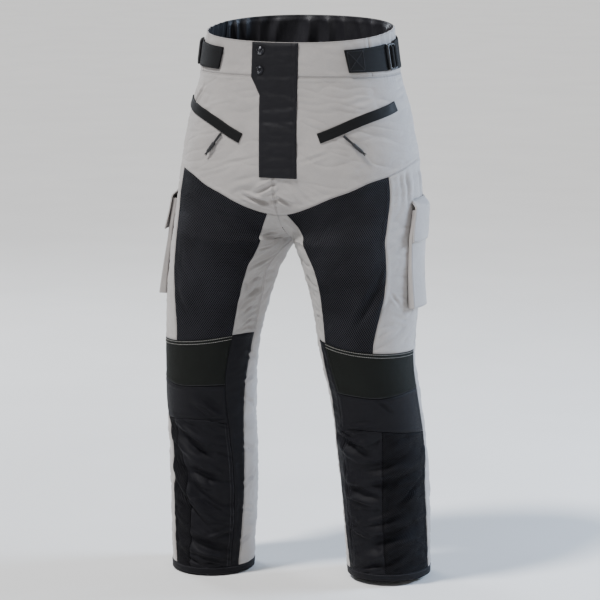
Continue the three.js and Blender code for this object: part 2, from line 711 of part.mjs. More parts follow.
// The waist buckle's own flat frame of directions: forward along the strap, up and outward.
function buckleFrame(side) {
  const { point, normal } = overCloth(side, BUCKLE.u, BUCKLE.h);
  const ahead = overCloth(side, BUCKLE.u + 0.02, BUCKLE.h).point.sub(point);
  const rearward = ahead.addScaledVector(normal, -ahead.dot(normal)).normalize();
  const up = normal.clone().cross(rearward).multiplyScalar(side).normalize();
  return { origin: point, normal, rearward, up };
}

function inBuckle(frame, along, up, lift) {
  return frame.origin.clone()
    .addScaledVector(frame.rearward, along)
    .addScaledVector(frame.up, up)
    .addScaledVector(frame.normal, lift);
}

// The buckle: a flat plate with two slots, which leaves three upright bars between its two ends.
function buckle(side) {
  const frame = buckleFrame(side);
  const end = BUCKLE.halfHeight + BAR_RADIUS;
  const slotEnd = BUCKLE.halfHeight - BAR_RADIUS;
  const bothEdges = (bar) => [-1, 1].map((edge) => bar * BUCKLE.spacing + edge * BAR_RADIUS);
  const across = [-1, 0, 1].flatMap(bothEdges);
  const up = [end, slotEnd, -slotEnd, -end];
  const pointAt = (i, j) => {
    const corner = (i === 0 || i === across.length - 1) && (j === 0 || j === up.length - 1);
    const round = corner ? BAR_RADIUS * 0.5 : 0;
    const along = across[i] - Math.sign(across[i]) * round;
    const height = up[j] - Math.sign(up[j]) * round;
    return { point: inBuckle(frame, along, height, BUCKLE.lift + BAR_RADIUS), normal: frame.normal };
  };
  const slot = (i, j) => j === 1 && i % 2 === 1;
  const sheet = gridSheet(across.length - 1, up.length - 1, pointAt, { flip: side < 0, skip: slot });
  return wall(sheet, { thickness: 2 * BAR_RADIUS, drawBack: 0 });
}

// Webbing that comes along the cloth, turns round one bar and goes back over itself. The route
// is a list of middle points with the place round the waist or the place in the buckle's frame.
function strap(side, route) {
  const frame = buckleFrame(side);
  const middle = route.map((step) => strapPoint(side, frame, step, 0));
  const normals = middle.map((step, i) => {
    const before = middle[Math.max(i - 1, 0)].point;
    const after = middle[Math.min(i + 1, middle.length - 1)].point;
    return after.clone().sub(before).cross(step.up).normalize();
  });
  const pointAt = (i, j) => {
    const reach = WEBBING_WIDTH * (0.5 - j / STRAP_CELLS);
    const point = strapPoint(side, frame, route[i], reach).point;
    return { point: point.addScaledVector(normals[i], WEBBING / 2), normal: normals[i] };
  };
  const sheet = gridSheet(route.length - 1, STRAP_CELLS, pointAt);
  return wall(sheet, { thickness: WEBBING, drawBack: 0 });
}

function strapPoint(side, frame, step, reach) {
  if (step.along !== undefined) {
    return { point: inBuckle(frame, step.along, reach, step.lift), up: frame.up };
  }
  const u = step.u - (step.slant ?? 0) * reach / WEBBING_WIDTH;
  const { point, normal } = overCloth(side, u, BUCKLE.h + reach, step.lift);
  const above = overCloth(side, u, BUCKLE.h + reach + 5, step.lift).point.sub(point);
  return { point, up: above.addScaledVector(normal, -above.dot(normal)).normalize() };
}

const LOWER_LAYER = STRAP_GAP + WEBBING / 2;
const UPPER_LAYER = LOWER_LAYER + WEBBING + SEAM_GAP;

// Half a turn and more round a bar, from below it to above it, opening toward the strap's ends.
function turnRound(bar, direction) {
  const radius = BAR_RADIUS * Math.SQRT2 + SEAM_GAP + WEBBING / 2;
  return TURN_DEGREES.map((degrees) => {
    const angle = THREE.MathUtils.degToRad(degrees);
    const along = bar + direction * radius * Math.cos(angle);
    return { along, lift: BUCKLE.lift + radius * Math.sin(angle) };
  });
}

function spread(from, to, steps, make) {
  return Array.from({ length: steps + 1 }, (unused, i) => make(THREE.MathUtils.lerp(from, to, i / steps)));
}

// Where each layer of webbing leaves the bar that it turns round, in the buckle's frame.
function turnsBack(bar, direction) {
  const step = (along, lift) => ({ along: bar - direction * along, lift });
  return [step(7.4, 1.7), step(3.4, 2.1), ...turnRound(bar, direction), step(5.4, 6.2), step(7.6, 3.6)];
}

function strapFront(side) {
  const end = side > 0 ? STRAP_FRONT_END.left : STRAP_FRONT_END.right;
  const near = BUCKLE.u - STRAP_MEETS_CLOTH.ahead;
  const slantAt = (u) => (u === end ? STRAP_FRONT_END.slant : 0);
  const lower = spread(end, near, 8, (u) => ({ u, lift: LOWER_LAYER, slant: slantAt(u) }));
  const upper = spread(near, end, 8, (u) => ({ u, lift: UPPER_LAYER, slant: slantAt(u) }));
  return strap(side, [...lower, ...turnsBack(0, 1), ...upper]);
}

function strapBack(side) {
  const near = BUCKLE.u + STRAP_MEETS_CLOTH.behind;
  const lower = spread(STRAP_BACK_SEWN, near, 8, (u) => ({ u, lift: LOWER_LAYER }));
  const upper = spread(near, STRAP_BACK_FREE, 4, (u) => ({ u, lift: UPPER_LAYER }));
  return strap(side, [...lower, ...turnsBack(BUCKLE.spacing, -1), ...upper]);
}

// The bellows pocket: a tray of cloth whose walls stand on the panel, open along its top.
function cargoPocket(side) {
  const across = 8;
  const down = 8;
  const pointAt = (i, j) => {
    const wallColumn = i === 0 || i === across;
    const wallRow = j === down;
    const i2 = THREE.MathUtils.clamp(i, 1, across - 1);
    const j2 = Math.min(j, down - 1);
    const u = THREE.MathUtils.lerp(POCKET.front, POCKET.rear, (i2 - 1) / (across - 2));
    const h = THREE.MathUtils.lerp(POCKET.top, POCKET.bottom, j2 / (down - 1));
    const depth = wallColumn || wallRow ? 0 : curve(POCKET_DEPTH, 'h', 'depth', h);
    return overCloth(side, u, h, POCKET_GAP + depth);
  };
  const sheet = gridSheet(across, down, pointAt, { flip: side < 0 });
  sheet.cells = sheet.cells.filter((cell) => !isCorner(cell, sheet.points));
  return wall(withOwnNormals(droppedUnused(sheet)), { drawBack: 0 });
}

function isCorner(cell, points) {
  return new Set(cell.map((i) => points[i].toArray().map(Math.round).join())).size < 3;
}

// Directions that point outward, worked out from the sheet's own cells.
function withOwnNormals(raw) {
  const sheet = joinedSheet(raw);
  const normals = sheet.points.map(() => new THREE.Vector3());
  sheet.cells.forEach((cell) => {
    for (let k = 1; k + 1 < cell.length; k += 1) {
      const [a, b, c] = [cell[0], cell[k], cell[k + 1]].map((i) => sheet.points[i]);
      const face = b.clone().sub(a).cross(c.clone().sub(a)).normalize();
      cell.forEach((i) => normals[i].add(face));
    }
  });
  normals.forEach((normal) => normal.normalize());
  return { ...sheet, normals };
}

// The pocket's flap: sewn to the panel along its top, it lies over the pocket's mouth.
function cargoFlap(side) {
  const across = 8;
  const down = 6;
  const pointAt = (i, j) => {
    const u = THREE.MathUtils.lerp(FLAP.front, FLAP.rear, i / across);
    const h = THREE.MathUtils.lerp(FLAP.top, FLAP.bottom, j / down);
    const over = curve(POCKET_DEPTH, 'h', 'depth', Math.min(h, POCKET.top)) + FLAP_GAP;
    const corner = FLAP.corner * Math.max(0, 1 - i / 3) * (j / down) ** 2;
    const lift = POCKET_GAP + FLAP_THICK + over * smooth((FLAP.top - h) / FLAP.rise) + corner;
    return overCloth(side, u, h, lift);
  };
  const sheet = gridSheet(across, down, pointAt, { flip: side < 0 });
  return wall(sheet, { thickness: FLAP_THICK, drawBack: 0 });
}

function piece(name, look, geometry) {
  const mesh = new THREE.Mesh(geometry, new THREE.MeshStandardMaterial(LOOKS[look]));
  mesh.name = name;
  return mesh;
}

function halfGarment(side) {
  const hand = side > 0 ? 'left' : 'right';
  const half = new THREE.Group();
  PANELS.forEach((spec) => half.add(piece(`${spec.name}_${hand}`, spec.look, panel(side, spec))));
  half.add(piece(`welt_${hand}`, 'black', welt(side)));
  half.add(piece(`zip_pull_${hand}`, 'black', zipPull(side)));
  half.add(piece(`strap_front_${hand}`, 'black', strapFront(side)));
  half.add(piece(`strap_loop_${hand}`, 'plastic', buckle(side)));
  half.add(piece(`strap_back_${hand}`, 'black', strapBack(side)));
  half.add(piece(`cargo_pocket_${hand}`, 'grey', cargoPocket(side)));
  half.add(piece(`cargo_flap_${hand}`, 'grey', cargoFlap(side)));
  return half;
}

const trousers = new THREE.Group();
trousers.add(halfGarment(LEFT), halfGarment(RIGHT));
trousers.add(piece('waistband_back', 'black', backWaistband()));
trousers.add(piece('fly_placket', 'black', flyPlacket()));
STUDS.forEach((spec) => trousers.add(piece(spec.name, 'steel', stud(spec))));

export default trousers;
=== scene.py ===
"""Motorcycle trousers: cloth shells with their sewing and materials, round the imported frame.

Lengths in the tables are millimetres and everything built from them is in metres. A place on the
garment is a share u round one half, from the centre front or the inseam through 0.5 at the outer
side to the centre back, and a height h. Side 1 is the wearer's left and side -1 the right.
"""
import math

import bpy
import numpy as np
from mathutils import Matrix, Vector


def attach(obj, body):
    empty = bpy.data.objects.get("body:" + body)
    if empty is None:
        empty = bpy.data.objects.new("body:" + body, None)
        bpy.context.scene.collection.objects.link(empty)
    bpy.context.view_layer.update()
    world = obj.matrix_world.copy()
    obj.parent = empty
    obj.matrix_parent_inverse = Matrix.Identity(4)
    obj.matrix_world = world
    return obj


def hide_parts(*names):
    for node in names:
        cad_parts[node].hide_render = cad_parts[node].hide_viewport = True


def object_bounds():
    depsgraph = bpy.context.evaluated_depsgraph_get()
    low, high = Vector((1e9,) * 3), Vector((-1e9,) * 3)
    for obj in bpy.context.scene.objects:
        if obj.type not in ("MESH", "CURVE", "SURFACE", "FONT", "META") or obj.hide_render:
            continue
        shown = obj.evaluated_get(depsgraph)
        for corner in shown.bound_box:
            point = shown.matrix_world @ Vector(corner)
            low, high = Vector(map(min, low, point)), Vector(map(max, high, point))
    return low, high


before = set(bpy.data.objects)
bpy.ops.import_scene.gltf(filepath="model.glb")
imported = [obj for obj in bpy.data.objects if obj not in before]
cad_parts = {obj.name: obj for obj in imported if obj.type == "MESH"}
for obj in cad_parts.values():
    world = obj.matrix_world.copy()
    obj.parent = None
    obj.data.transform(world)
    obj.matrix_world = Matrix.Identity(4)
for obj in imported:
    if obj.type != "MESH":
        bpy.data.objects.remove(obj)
cad_box = [list(corner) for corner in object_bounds()]

STEP = 4.0
MM = 0.001
WAIST_TOP, WAIST_SEAM, RISE_START, CROTCH = 30.0, -32.0, -205.0, -336.0
BACK_RISE, SQUARENESS, HEM_BAND = 32.0, 2.25, 14.0
HEM = {1: -972.0, -1: -979.0}
HAND = {1: "left", -1: "right"}
LAY_GAP, STRAP_GAP = 0.45, 0.8


def table(*rows):
    return np.array(rows, float)


# height, half width, depth in front, depth behind
TRUNK = table(
    (30, 176, 124, 128), (-32, 188, 128, 136), (-95, 206, 134, 150), (-155, 219, 140, 160),
    (-215, 228, 146, 162), (-275, 234, 150, 158), (-336, 238, 152, 150))
# height, left out, left back, right out, right back, half across, half deep
LEG = table(
    (-205, 116, -6, 116, -6, 116, 140), (-336, 119, -20, 119, -20, 119, 132),
    (-380, 131, -34, 131, -34, 108, 119), (-455, 145, -45, 145, -47, 97, 106),
    (-540, 153, -57, 152, -60, 88, 94), (-640, 164, -36, 159, -50, 85, 88),
    (-790, 172, -8, 159, -40, 84, 87), (-976, 178, 4, 160, -44, 78, 83))
# height, share on the left, share on the right
INSEAM = table(
    (30, 0, 0), (-336, 0, 0), (-370, .05, .05), (-448, .07, .042), (-530, .112, .033),
    (-610, .11, .056), (-720, .086, .067), (-860, .093, .073), (-980, .122, .085))
INNER_LINE = table(
    (30, .08, .08), (-150, .062, .062), (-258, .024, .024), (-288, .082, .068),
    (-317, .14, .117), (-360, .158, .125), (-520, .148, .127), (-612, .162, .142),
    (-700, .15, .128), (-860, .14, .112), (-980, .152, .12))
FRONT_LINE = table(
    (30, .333, .333), (-210, .333, .336), (-255, .343, .36), (-315, .374, .378),
    (-380, .378, .37), (-520, .326, .326), (-610, .322, .34), (-700, .31, .343),
    (-765, .298, .305), (-836, .29, .283), (-980, .292, .284))
OUTSEAM = table(
    (30, .62, .62), (-380, .6, .6), (-480, .54, .54), (-540, .51, .5), (-620, .495, .46),
    (-730, .505, .37), (-800, .478, .371), (-865, .487, .373), (-980, .502, .362))
CENTRE_BACK = table((30, 1, 1), (-980, 1, 1))
# share, height
YOKE_SEAM = table(
    (0, -262), (.022, -260), (.05, -256), (.09, -248), (.145, -236), (.2, -228), (.26, -218),
    (.333, -211), (.47, -194), (.62, -190), (1, -190))
KNEE_TOP = table((0, -516), (.12, -514), (.22, -521), (.3, -526), (.48, -532), (1, -516))
KNEE_BOTTOM = table((0, -611), (.22, -612), (.31, -615), (.46, -606), (1, -611))
SHIN_SEAM = table((0, -690), (.1, -690), (.22, -678), (.32, -680), (.48, -690), (1, -690))

COLUMN_AT = np.array([0, 2, 5, 11, 17, 24])
CENTRE, INNER, EDGE, FRONT, SIDE, REAR = COLUMN_AT
WRAPPED = REAR + INNER
ROW_AT = np.array([0, 2, 8, 13, 20, 23, 26, 38, 39])
TOP, WAIST, YOKE, FORK, KNEE, CALF, SHIN, BAND, FOOT = ROW_AT

# Folds, then the narrow creases between them: share, height, length, width, depth, slope in degrees
FOLDS = {
    1: [
        (.19, -712, 120, 58, -4, -20), (.315, -762, 150, 60, 4.5, 16), (.211, -802, 110, 54, -3.6, -9),
        (.336, -884, 180, 62, -4.5, 18), (.26, -926, 100, 48, 3, 16), (.318, -440, 130, 56, -4.5, 57),
        (.1, -400, 80, 46, -2.6, -35), (.8, -436, 150, 60, -4, 8), (.76, -566, 170, 58, -4.5, -6),
        (.73, -634, 150, 54, 3.5, 16), (.72, -772, 150, 60, -4, -22), (.7, -890, 150, 58, 3.5, 20),
        (.174, -690, 80, 22, -2, -18), (.24, -668, 70, 22, 1.6, 10), (.335, -629, 50, 20, -1.4, -49),
        (.29, -740, 110, 24, -2.2, 12), (.211, -824, 70, 20, -1.6, -8), (.3, -846, 120, 24, 2, 20),
        (.23, -946, 70, 20, -1.8, 17), (.33, -930, 80, 22, -1.6, 30), (.18, -880, 90, 22, 1.5, -16),
        (.4, -800, 90, 26, -2, 40), (.223, -251, 60, 22, -1.3, 70), (.19, -290, 80, 22, 1.3, -70),
        (.15, -330, 60, 20, -1.2, -40), (.36, -386, 50, 20, -1.4, 63), (.3, -470, 100, 26, 1.3, 50),
        (.014, -238, 44, 15, -5, -24), (.06, -228, 70, 22, -1.6, -40), (.1, -372, 40, 14, -1.6, 20),
        (.11, -430, 44, 15, -1.8, -24), (.12, -470, 40, 14, -1.4, 18), (.26, -76, 90, 26, -1, 12),
        (.404, -434, 50, 20, -1.8, -53), (.43, -470, 70, 22, -1.6, -20), (.1, -176, 80, 22, -.9, 22),
        (.7, -250, 120, 30, -1.8, 10), (.85, -320, 90, 26, -2.2, 24), (.66, -500, 90, 24, -1.8, 14)],
    -1: [
        (.28, -724, 150, 62, -4.5, 32), (.285, -822, 190, 64, 4.5, 48), (.232, -786, 110, 54, -3.5, 20),
        (.215, -922, 130, 56, -4, 14), (.205, -656, 90, 50, 2.6, 38), (.29, -452, 110, 54, 3.6, 56),
        (.1, -372, 90, 50, -3, -32), (.09, -440, 90, 46, -3, -35), (.8, -432, 150, 60, -4, 12),
        (.74, -560, 170, 56, -4.5, 8), (.72, -640, 150, 54, 3.5, -14), (.7, -760, 160, 60, -4, 24),
        (.68, -880, 150, 58, 3.5, -18), (.205, -659, 60, 22, -1.8, 40), (.18, -676, 44, 18, -1.4, -5),
        (.27, -706, 80, 22, 1.8, 34), (.24, -742, 90, 24, -2, 24), (.285, -846, 130, 24, -2.2, 44),
        (.2, -838, 90, 20, 1.6, 30), (.206, -946, 90, 20, -1.8, 13), (.284, -950, 60, 20, -1.6, 21),
        (.17, -900, 80, 20, 1.4, -20), (.32, -780, 70, 22, 1.5, 60), (.165, -291, 60, 22, -1.3, 45),
        (.154, -262, 100, 22, 1.2, 7), (.2, -330, 90, 24, -1, 20), (.063, -302, 50, 18, -2.4, -13),
        (.105, -351, 40, 14, -1.6, -10), (.093, -380, 44, 13, -2.2, -26), (.09, -410, 46, 14, -2.4, -35),
        (.084, -438, 50, 14, -2.2, -32), (.083, -466, 50, 14, -2.2, -38), (.08, -493, 52, 14, -2, -34),
        (.07, -330, 46, 14, 1.8, -20), (.036, -241, 66, 17, -7, 14), (.016, -224, 54, 17, -4.5, -25),
        (.07, -222, 70, 24, 2, -12), (.006, -240, 30, 18, -5, 0), (.315, -78, 70, 24, -3.4, -48),
        (.22, -92, 90, 26, .9, -16), (.43, -460, 60, 20, -1.5, 24), (.1, -190, 70, 20, -.9, -16),
        (.72, -262, 110, 28, -1.7, -12), (.86, -318, 90, 26, -2.2, 20), (.66, -520, 100, 24, -1.8, -10),
        (.03, -560, 60, 22, -3, 24), (.035, -604, 56, 20, -3.4, -20), (.03, -652, 60, 24, -3, 28),
        (.035, -700, 50, 18, -2.6, -14), (.04, -742, 60, 22, -3.2, 22), (.04, -800, 70, 26, -3, -24),
        (.045, -858, 56, 20, -3, 18), (.05, -914, 60, 22, -2.6, -16)],
}
# Folds below the knee and outward of the pale inner strip are this much deeper than their rows say.
SHIN_TOP, STRIP_EDGE, SHIN_FOLDS = -620, .1, 1.85
# first share, last share, top, deepest height, bottom, pleats, depth
SIDE_GATHERS = (.345, .6, -196, -214, -296, 6, 4.4)
# first share, last share, waves, depth
ELASTIC_GATHERS = (.36, .62, 6, 2.4)


def curve(rows, column, at):
    """A smooth curve through a table, from its first column to another, level past its ends."""
    sign = 1 if rows[1, 0] > rows[0, 0] else -1
    x, y, place = sign * rows[:, 0], rows[:, column], sign * np.asarray(at, float)
    width = np.diff(x)
    slope = np.diff(y) / width
    inner = (slope[:-1] * width[1:] + slope[1:] * width[:-1]) / (width[1:] + width[:-1])
    tangent = np.concatenate([slope[:1], inner, slope[-1:]])
    i = np.clip(np.searchsorted(x, place, side="right") - 1, 0, len(x) - 2)
    t = np.clip((place - x[i]) / width[i], 0, 1)
    return hermite(y[i], y[i + 1], tangent[i] * width[i], tangent[i + 1] * width[i], t)


def smooth(t):
    t = np.clip(t, 0, 1)
    return t * t * (3 - 2 * t)


def length(v):
    return np.linalg.norm(v, axis=-1)


def unit(v):
    return v / np.maximum(length(v), 1e-9)[..., None]


def hermite(start, end, start_slope, end_slope, t):
    first = start * (1 + 2 * t) * (1 - t) ** 2 + start_slope * t * (1 - t) ** 2
    return first + (end * t * t * (3 - 2 * t) + end_slope * t * t * (t - 1))


def pairs(a, b):
    return np.stack([a, b], -1).reshape(-1, 2)


def crossed(a, b):
    return np.meshgrid(a, b, indexing="ij")


def lengths(grid):
    """How far each point of a grid lies along its two kinds of lines."""
    along, down = length(np.diff(grid, axis=0)), length(np.diff(grid, axis=1))
    return np.cumsum(np.pad(along, ((1, 0), (0, 0))), 0), np.cumsum(np.pad(down, ((0, 0), (1, 0))), 1)


def form(side, u, h):
    """The smooth form of the garment, in millimetres."""
    u, h = np.broadcast_arrays(np.asarray(u, float), np.asarray(h, float))
    phi, power = np.pi * u, 2 / SQUARENESS
    deep = np.where(u < .5, curve(TRUNK, 2, h), curve(TRUNK, 3, h))
    sine, cosine = np.sin(phi), np.cos(phi)
    trunk_x = curve(TRUNK, 1, h) * np.abs(sine) ** power
    trunk_y = -deep * np.sign(cosine) * np.abs(cosine) ** power
    psi = 2 * np.pi * u - np.pi / 2
    first = 1 if side > 0 else 3
    leg_x = curve(LEG, first, h) + curve(LEG, 5, h) * np.sin(psi)
    leg_y = curve(LEG, first + 1, h) - curve(LEG, 6, h) * np.cos(psi)
    fall = np.clip((h - RISE_START) / (CROTCH - RISE_START), 0, 1)
    turn = fall * np.pi / 2
    centred = cosine ** 8
    share = centred * (1 - np.cos(turn)) + (1 - centred) * smooth(fall ** 1.5)
    dips = (h < RISE_START) & (h > CROTCH)
    dip = np.where(dips, RISE_START + (CROTCH - RISE_START) * np.sin(turn) - h, 0)
    rise = BACK_RISE * (1 - cosine) / 2
    lift = rise * smooth((h - WAIST_SEAM) / (WAIST_TOP - WAIST_SEAM))
    x = (1 - share) * trunk_x + share * leg_x
    y = (1 - share) * trunk_y + share * leg_y
    return np.stack([side * x, y, h + dip * cosine ** 2 + lift], -1)


def form_around(side, u, h):
    """The form past its centre seams: the other half above the crotch, the same leg below it."""
    inside = (u >= 0) & (u <= 1)
    above = h > CROTCH
    other = np.where(above, np.where(u < 0, -u, 2 - u), u - np.floor(u))
    point = form(side, np.where(inside, u, other), h)
    point[..., 0] *= np.where(above & ~inside, -1, 1)
    return point


def outward(side, u, h):
    u, h = np.broadcast_arrays(np.asarray(u, float), np.asarray(h, float))
    along = form_around(side, u + .004, h) - form_around(side, u - .004, h)
    up = form_around(side, u, h + 1.5) - form_around(side, u, h - 1.5)
    normal = unit(side * np.cross(along, up))
    at_crotch = (np.abs(h - CROTCH) < .5) & ((u < 1e-4) | (u > 1 - 1e-4))
    normal[at_crotch] = unit(np.array([-.6 * side, 0, -.8]))
    return normal


def girth(side, h):
    line = form(side, np.linspace(0, 1, 49), h)
    return length(np.diff(line, axis=0)).sum()


FOLD_GIRTHS = {(side, fold): girth(side, fold[1]) for side in HAND for fold in FOLDS[side]}


def fold_height(side, fold, u, h):
    at_u, at_h, long, wide, depth, slope = fold
    if at_u > STRIP_EDGE and at_h < SHIN_TOP:
        depth = depth * SHIN_FOLDS
    across, up, angle = (u - at_u) * FOLD_GIRTHS[side, fold], h - at_h, math.radians(slope)
    t = (across * math.cos(angle) + up * math.sin(angle)) / (long / 2)
    v = (up * math.cos(angle) - across * math.sin(angle)) / (wide / 2)
    inside = (np.abs(t) < 1) & (np.abs(v) < 1)
    t, v = np.clip(t, -1, 1), np.clip(v, -1, 1)
    return np.where(inside, depth * (1 - t * t) ** 2 * np.cos(1.5 * np.pi * v) * (1 - v * v), 0)


def gathers(u, h):
    """The gathers under the yoke at the side, and those that the waist elastic makes."""
    start, end, top, peak, bottom, waves, depth = SIDE_GATHERS
    place = np.clip((u - start) / (end - start), 0, 1)
    above, below = smooth((top - 12 * place - h) / 16), smooth((h - bottom) / (peak - bottom))
    fade = np.where(h > peak, above, below) * (h > bottom)
    bent = place + .03 * np.sin(9 * place + h / 30)
    pleats = (1.4 * np.abs(np.sin(np.pi * waves * bent)) - .9) * (.75 + .35 * np.sin(17 * place + 2))
    total = depth * fade * pleats * smooth(5 * place) * smooth(6 * (1 - place))
    start, end, waves, depth = ELASTIC_GATHERS
    place = np.clip((u - start) / (end - start), 0, 1)
    ends = np.minimum(1, 6 * place) * np.minimum(1, 6 * (1 - place))
    fade = smooth((h - WAIST_SEAM) / 24) * ends
    total -= depth * fade * (.5 + .5 * np.sin(2 * np.pi * waves * place))
    fine = 1.1 * np.sin(2 * np.pi * 13 * place + 2 * np.sin(h / 9))
    return total + ends * fine * smooth((h + 52) / 40)


def relief(side, u, h):
    total = gathers(u, h)
    for fold in FOLDS[side]:
        total = total + fold_height(side, fold, u, h)
    return total


RANDOM = np.random.RandomState(11)
SHUFFLED = np.tile(RANDOM.permutation(256), 3)
GRADIENTS = unit(RANDOM.normal(size=(256, 3)))


def noise(points, size, seed=0):
    """Smooth gradient noise from about -1 to 1 on points in millimetres."""
    p = points / np.asarray(size, float) + seed * 17.3
    cell = np.floor(p).astype(int)
    f = p - cell
    w = f ** 3 * (f * (f * 6 - 15) + 10)
    total = np.zeros(p.shape[:-1])
    for corner in np.ndindex(2, 2, 2):
        c = (cell + corner) & 255
        pick = SHUFFLED[SHUFFLED[SHUFFLED[c[..., 0]] + c[..., 1]] + c[..., 2]]
        weight = np.prod(np.where(np.array(corner) == 1, w, 1 - w), axis=-1)
        total += weight * (GRADIENTS[pick] * (f - corner)).sum(-1)
    return total * 1.5


def ridges(points, size, seed=0, sharp=3):
    return np.clip(1 - np.abs(noise(points, size, seed)) * 2.2, 0, 1) ** sharp


def turned(points, slope, side):
    """Points turned in the plane of the front, so that creases made from them slope."""
    angle = math.radians(slope) * side
    x, y, z = np.moveaxis(points, -1, 0)
    return np.stack([x * math.cos(angle) + z * math.sin(angle), y,
                     z * math.cos(angle) - x * math.sin(angle)], -1)


# Terms of each kind of wrinkle: amount, size, seed, slope, and a ridge's sharpness or 0 for noise
WRINKLES = {
    "calm": [(1.5, (62, 62, 40), 1, 0, 0), (.45, (18, 18, 12), 2, 0, 0),
             (-1.1, (64, 60, 16), 29, -16, 2)],
    "soft_folds": [(1.6, (50, 50, 64), 3, 0, 0), (.5, (19, 19, 24), 4, 0, 0),
                   (-1.6, (70, 60, 17), 5, 35, 3)],
    "knee_calm": [(.8, (50, 50, 60), 6, 0, 0), (.25, (13, 13, 14), 7, 0, 0)],
    "shin_folds": [(3.2, (74, 60, 27), 8, 30, 0), (-2.8, (54, 46, 16), 9, 24, 3),
                   (.7, (15, 15, 11), 10, 0, 0)],
    "creases": [(1.5, (40, 40, 20), 12, 0, 0), (-2.4, (46, 40, 12), 11, -28, 2),
                (.5, (11, 11, 7), 13, 0, 0)],
    "back_folds": [(2.1, (70, 60, 24), 14, 14, 0), (-1.9, (56, 50, 13), 15, -12, 3),
                   (.5, (15, 15, 10), 16, 0, 0)],
    "mesh_folds": [(1.5, (80, 60, 30), 17, 40, 0), (-1.2, (90, 70, 26), 18, 40, 3)],
    "edging": [(.35, (26, 26, 20), 19, 0, 0)],
}


def wrinkles(kind, points, side):
    total = 0
    for amount, size, seed, slope, sharp in WRINKLES[kind]:
        place = turned(points, slope, side) if slope else points
        wave = ridges(place, size, seed, sharp) if sharp else noise(place, size, seed)
        total = total + amount * wave
    return total


def between_lines(stops, lines, at):
    i = np.clip(np.searchsorted(stops, at, side="right") - 1, 0, len(stops) - 2)
    part = (at - stops[i]) / (stops[i + 1] - stops[i])
    stacked = np.stack(lines)
    pick = lambda k: np.take_along_axis(stacked, k[None], 0)[0]
    return pick(i) * (1 - part) + pick(i + 1) * part


def share_at(side, column, h):
    key = 1 if side > 0 else 2
    lines = [np.zeros_like(h)]
    lines += [np.maximum(0, curve(line, key, h))
              for line in (INSEAM, INNER_LINE, FRONT_LINE, OUTSEAM, CENTRE_BACK)]
    return between_lines(COLUMN_AT, lines, np.where(column > REAR, column - REAR, column))


def height_at(side, row, u):
    level = np.ones_like(u)
    lines = [WAIST_TOP * level, WAIST_SEAM * level, curve(YOKE_SEAM, 1, u), CROTCH * level,
             curve(KNEE_TOP, 1, u), curve(KNEE_BOTTOM, 1, u), curve(SHIN_SEAM, 1, u),
             (HEM[side] + HEM_BAND) * level, HEM[side] * level]
    return between_lines(ROW_AT, lines, row)


PLACE_ROUNDS = 12


def grid_place(side, column, row):
    """The share and height of a place in the grid, found in rounds since each depends on the other."""
    u = np.full(np.broadcast(column, row).shape, .3)
    column, row = np.broadcast_arrays(np.asarray(column, float), np.asarray(row, float))
    for _ in range(PLACE_ROUNDS):
        h = height_at(side, row, u)
        u = share_at(side, column, h)
    return u, h


def stops(first, last, widths, step):
    """Where grid lines go: even steps in each cell of the coarse grid, closer at both edges."""
    lines = []
    for k in range(int(last - first)):
        count = max(1, math.ceil(widths[k] / step))
        lines += [first + k + i / count for i in range(count)]
    lines.append(last)
    for distance in (.7, 1.7, 7.4, 9):
        lines += [first + distance / widths[0], last - distance / widths[-1]]
    return np.unique(np.clip(np.round(lines, 6), first, last))


def quads_of(columns, rows, flip=False, keep=None):
    i, j = crossed(np.arange(columns - 1), np.arange(rows - 1))
    at = i * rows + j
    cells = np.stack([at, at + 1, at + rows + 1, at + rows], -1)
    cells = cells[keep] if keep is not None else cells.reshape(-1, 4)
    return cells[:, ::-1] if flip else cells


def own_normals(points, cells):
    across = points[cells[:, 2]] - points[cells[:, 0]]
    down = points[cells[:, 3]] - points[cells[:, 1]]
    face = np.cross(across, down)
    normals = np.zeros_like(points)
    for k in range(4):
        np.add.at(normals, cells[:, k], face)
    return unit(normals)


def placed(name, data):
    if isinstance(data, bpy.types.Mesh):
        data.update()
    obj = bpy.data.objects.new(name, data)
    bpy.context.scene.collection.objects.link(obj)
    return obj


def closed_shell(name, points, normals, cells, maps, outer, inner, thickness):
    """A closed wall of cloth from one sheet: its outer face, its inner face and their rim."""
    used, cells = np.unique(cells, return_inverse=True)
    cells = cells.reshape(-1, 4)
    points, normals = points.reshape(-1, 3)[used], normals.reshape(-1, 3)[used]
    count = len(points)
    starts, ends = cells.reshape(-1), np.roll(cells, -1, axis=1).reshape(-1)
    free = ~np.isin(starts * count + ends, ends * count + starts)
    a, b = starts[free], ends[free]
    rim = np.stack([b, a, a + count, b + count], -1)
    faces = np.concatenate([cells, cells[:, ::-1] + count, rim])
    both = np.concatenate([points, points - thickness * normals]) * MM
    mesh = bpy.data.meshes.new(name)
    mesh.from_pydata(both.tolist(), [], faces.tolist())
    mesh.materials.append(outer)
    mesh.materials.append(inner)
    slots = np.zeros(len(faces), int)
    slots[len(cells):2 * len(cells)] = 1
    mesh.polygons.foreach_set("material_index", slots)
    mesh.polygons.foreach_set("use_smooth", np.ones(len(faces), bool))
    corners = faces.reshape(-1) % count
    for key, value in maps.items():
        layer = mesh.uv_layers.new(name=key)
        layer.data.foreach_set("uv", (value[used][corners] * MM).astype(np.float32).reshape(-1))
    return placed(name, mesh)


def smoothed_area(points, cells):
    a, b, c, d = (points[cells[:, k]] for k in range(4))
    return (length(np.cross(c - a, d - b)) / 2).sum() * MM * MM


def declare(obj, node, slot, flat, area):
    if area is not None:
        area = min(area, flat[0] * flat[1])
    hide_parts(node)
    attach(obj, "garment")


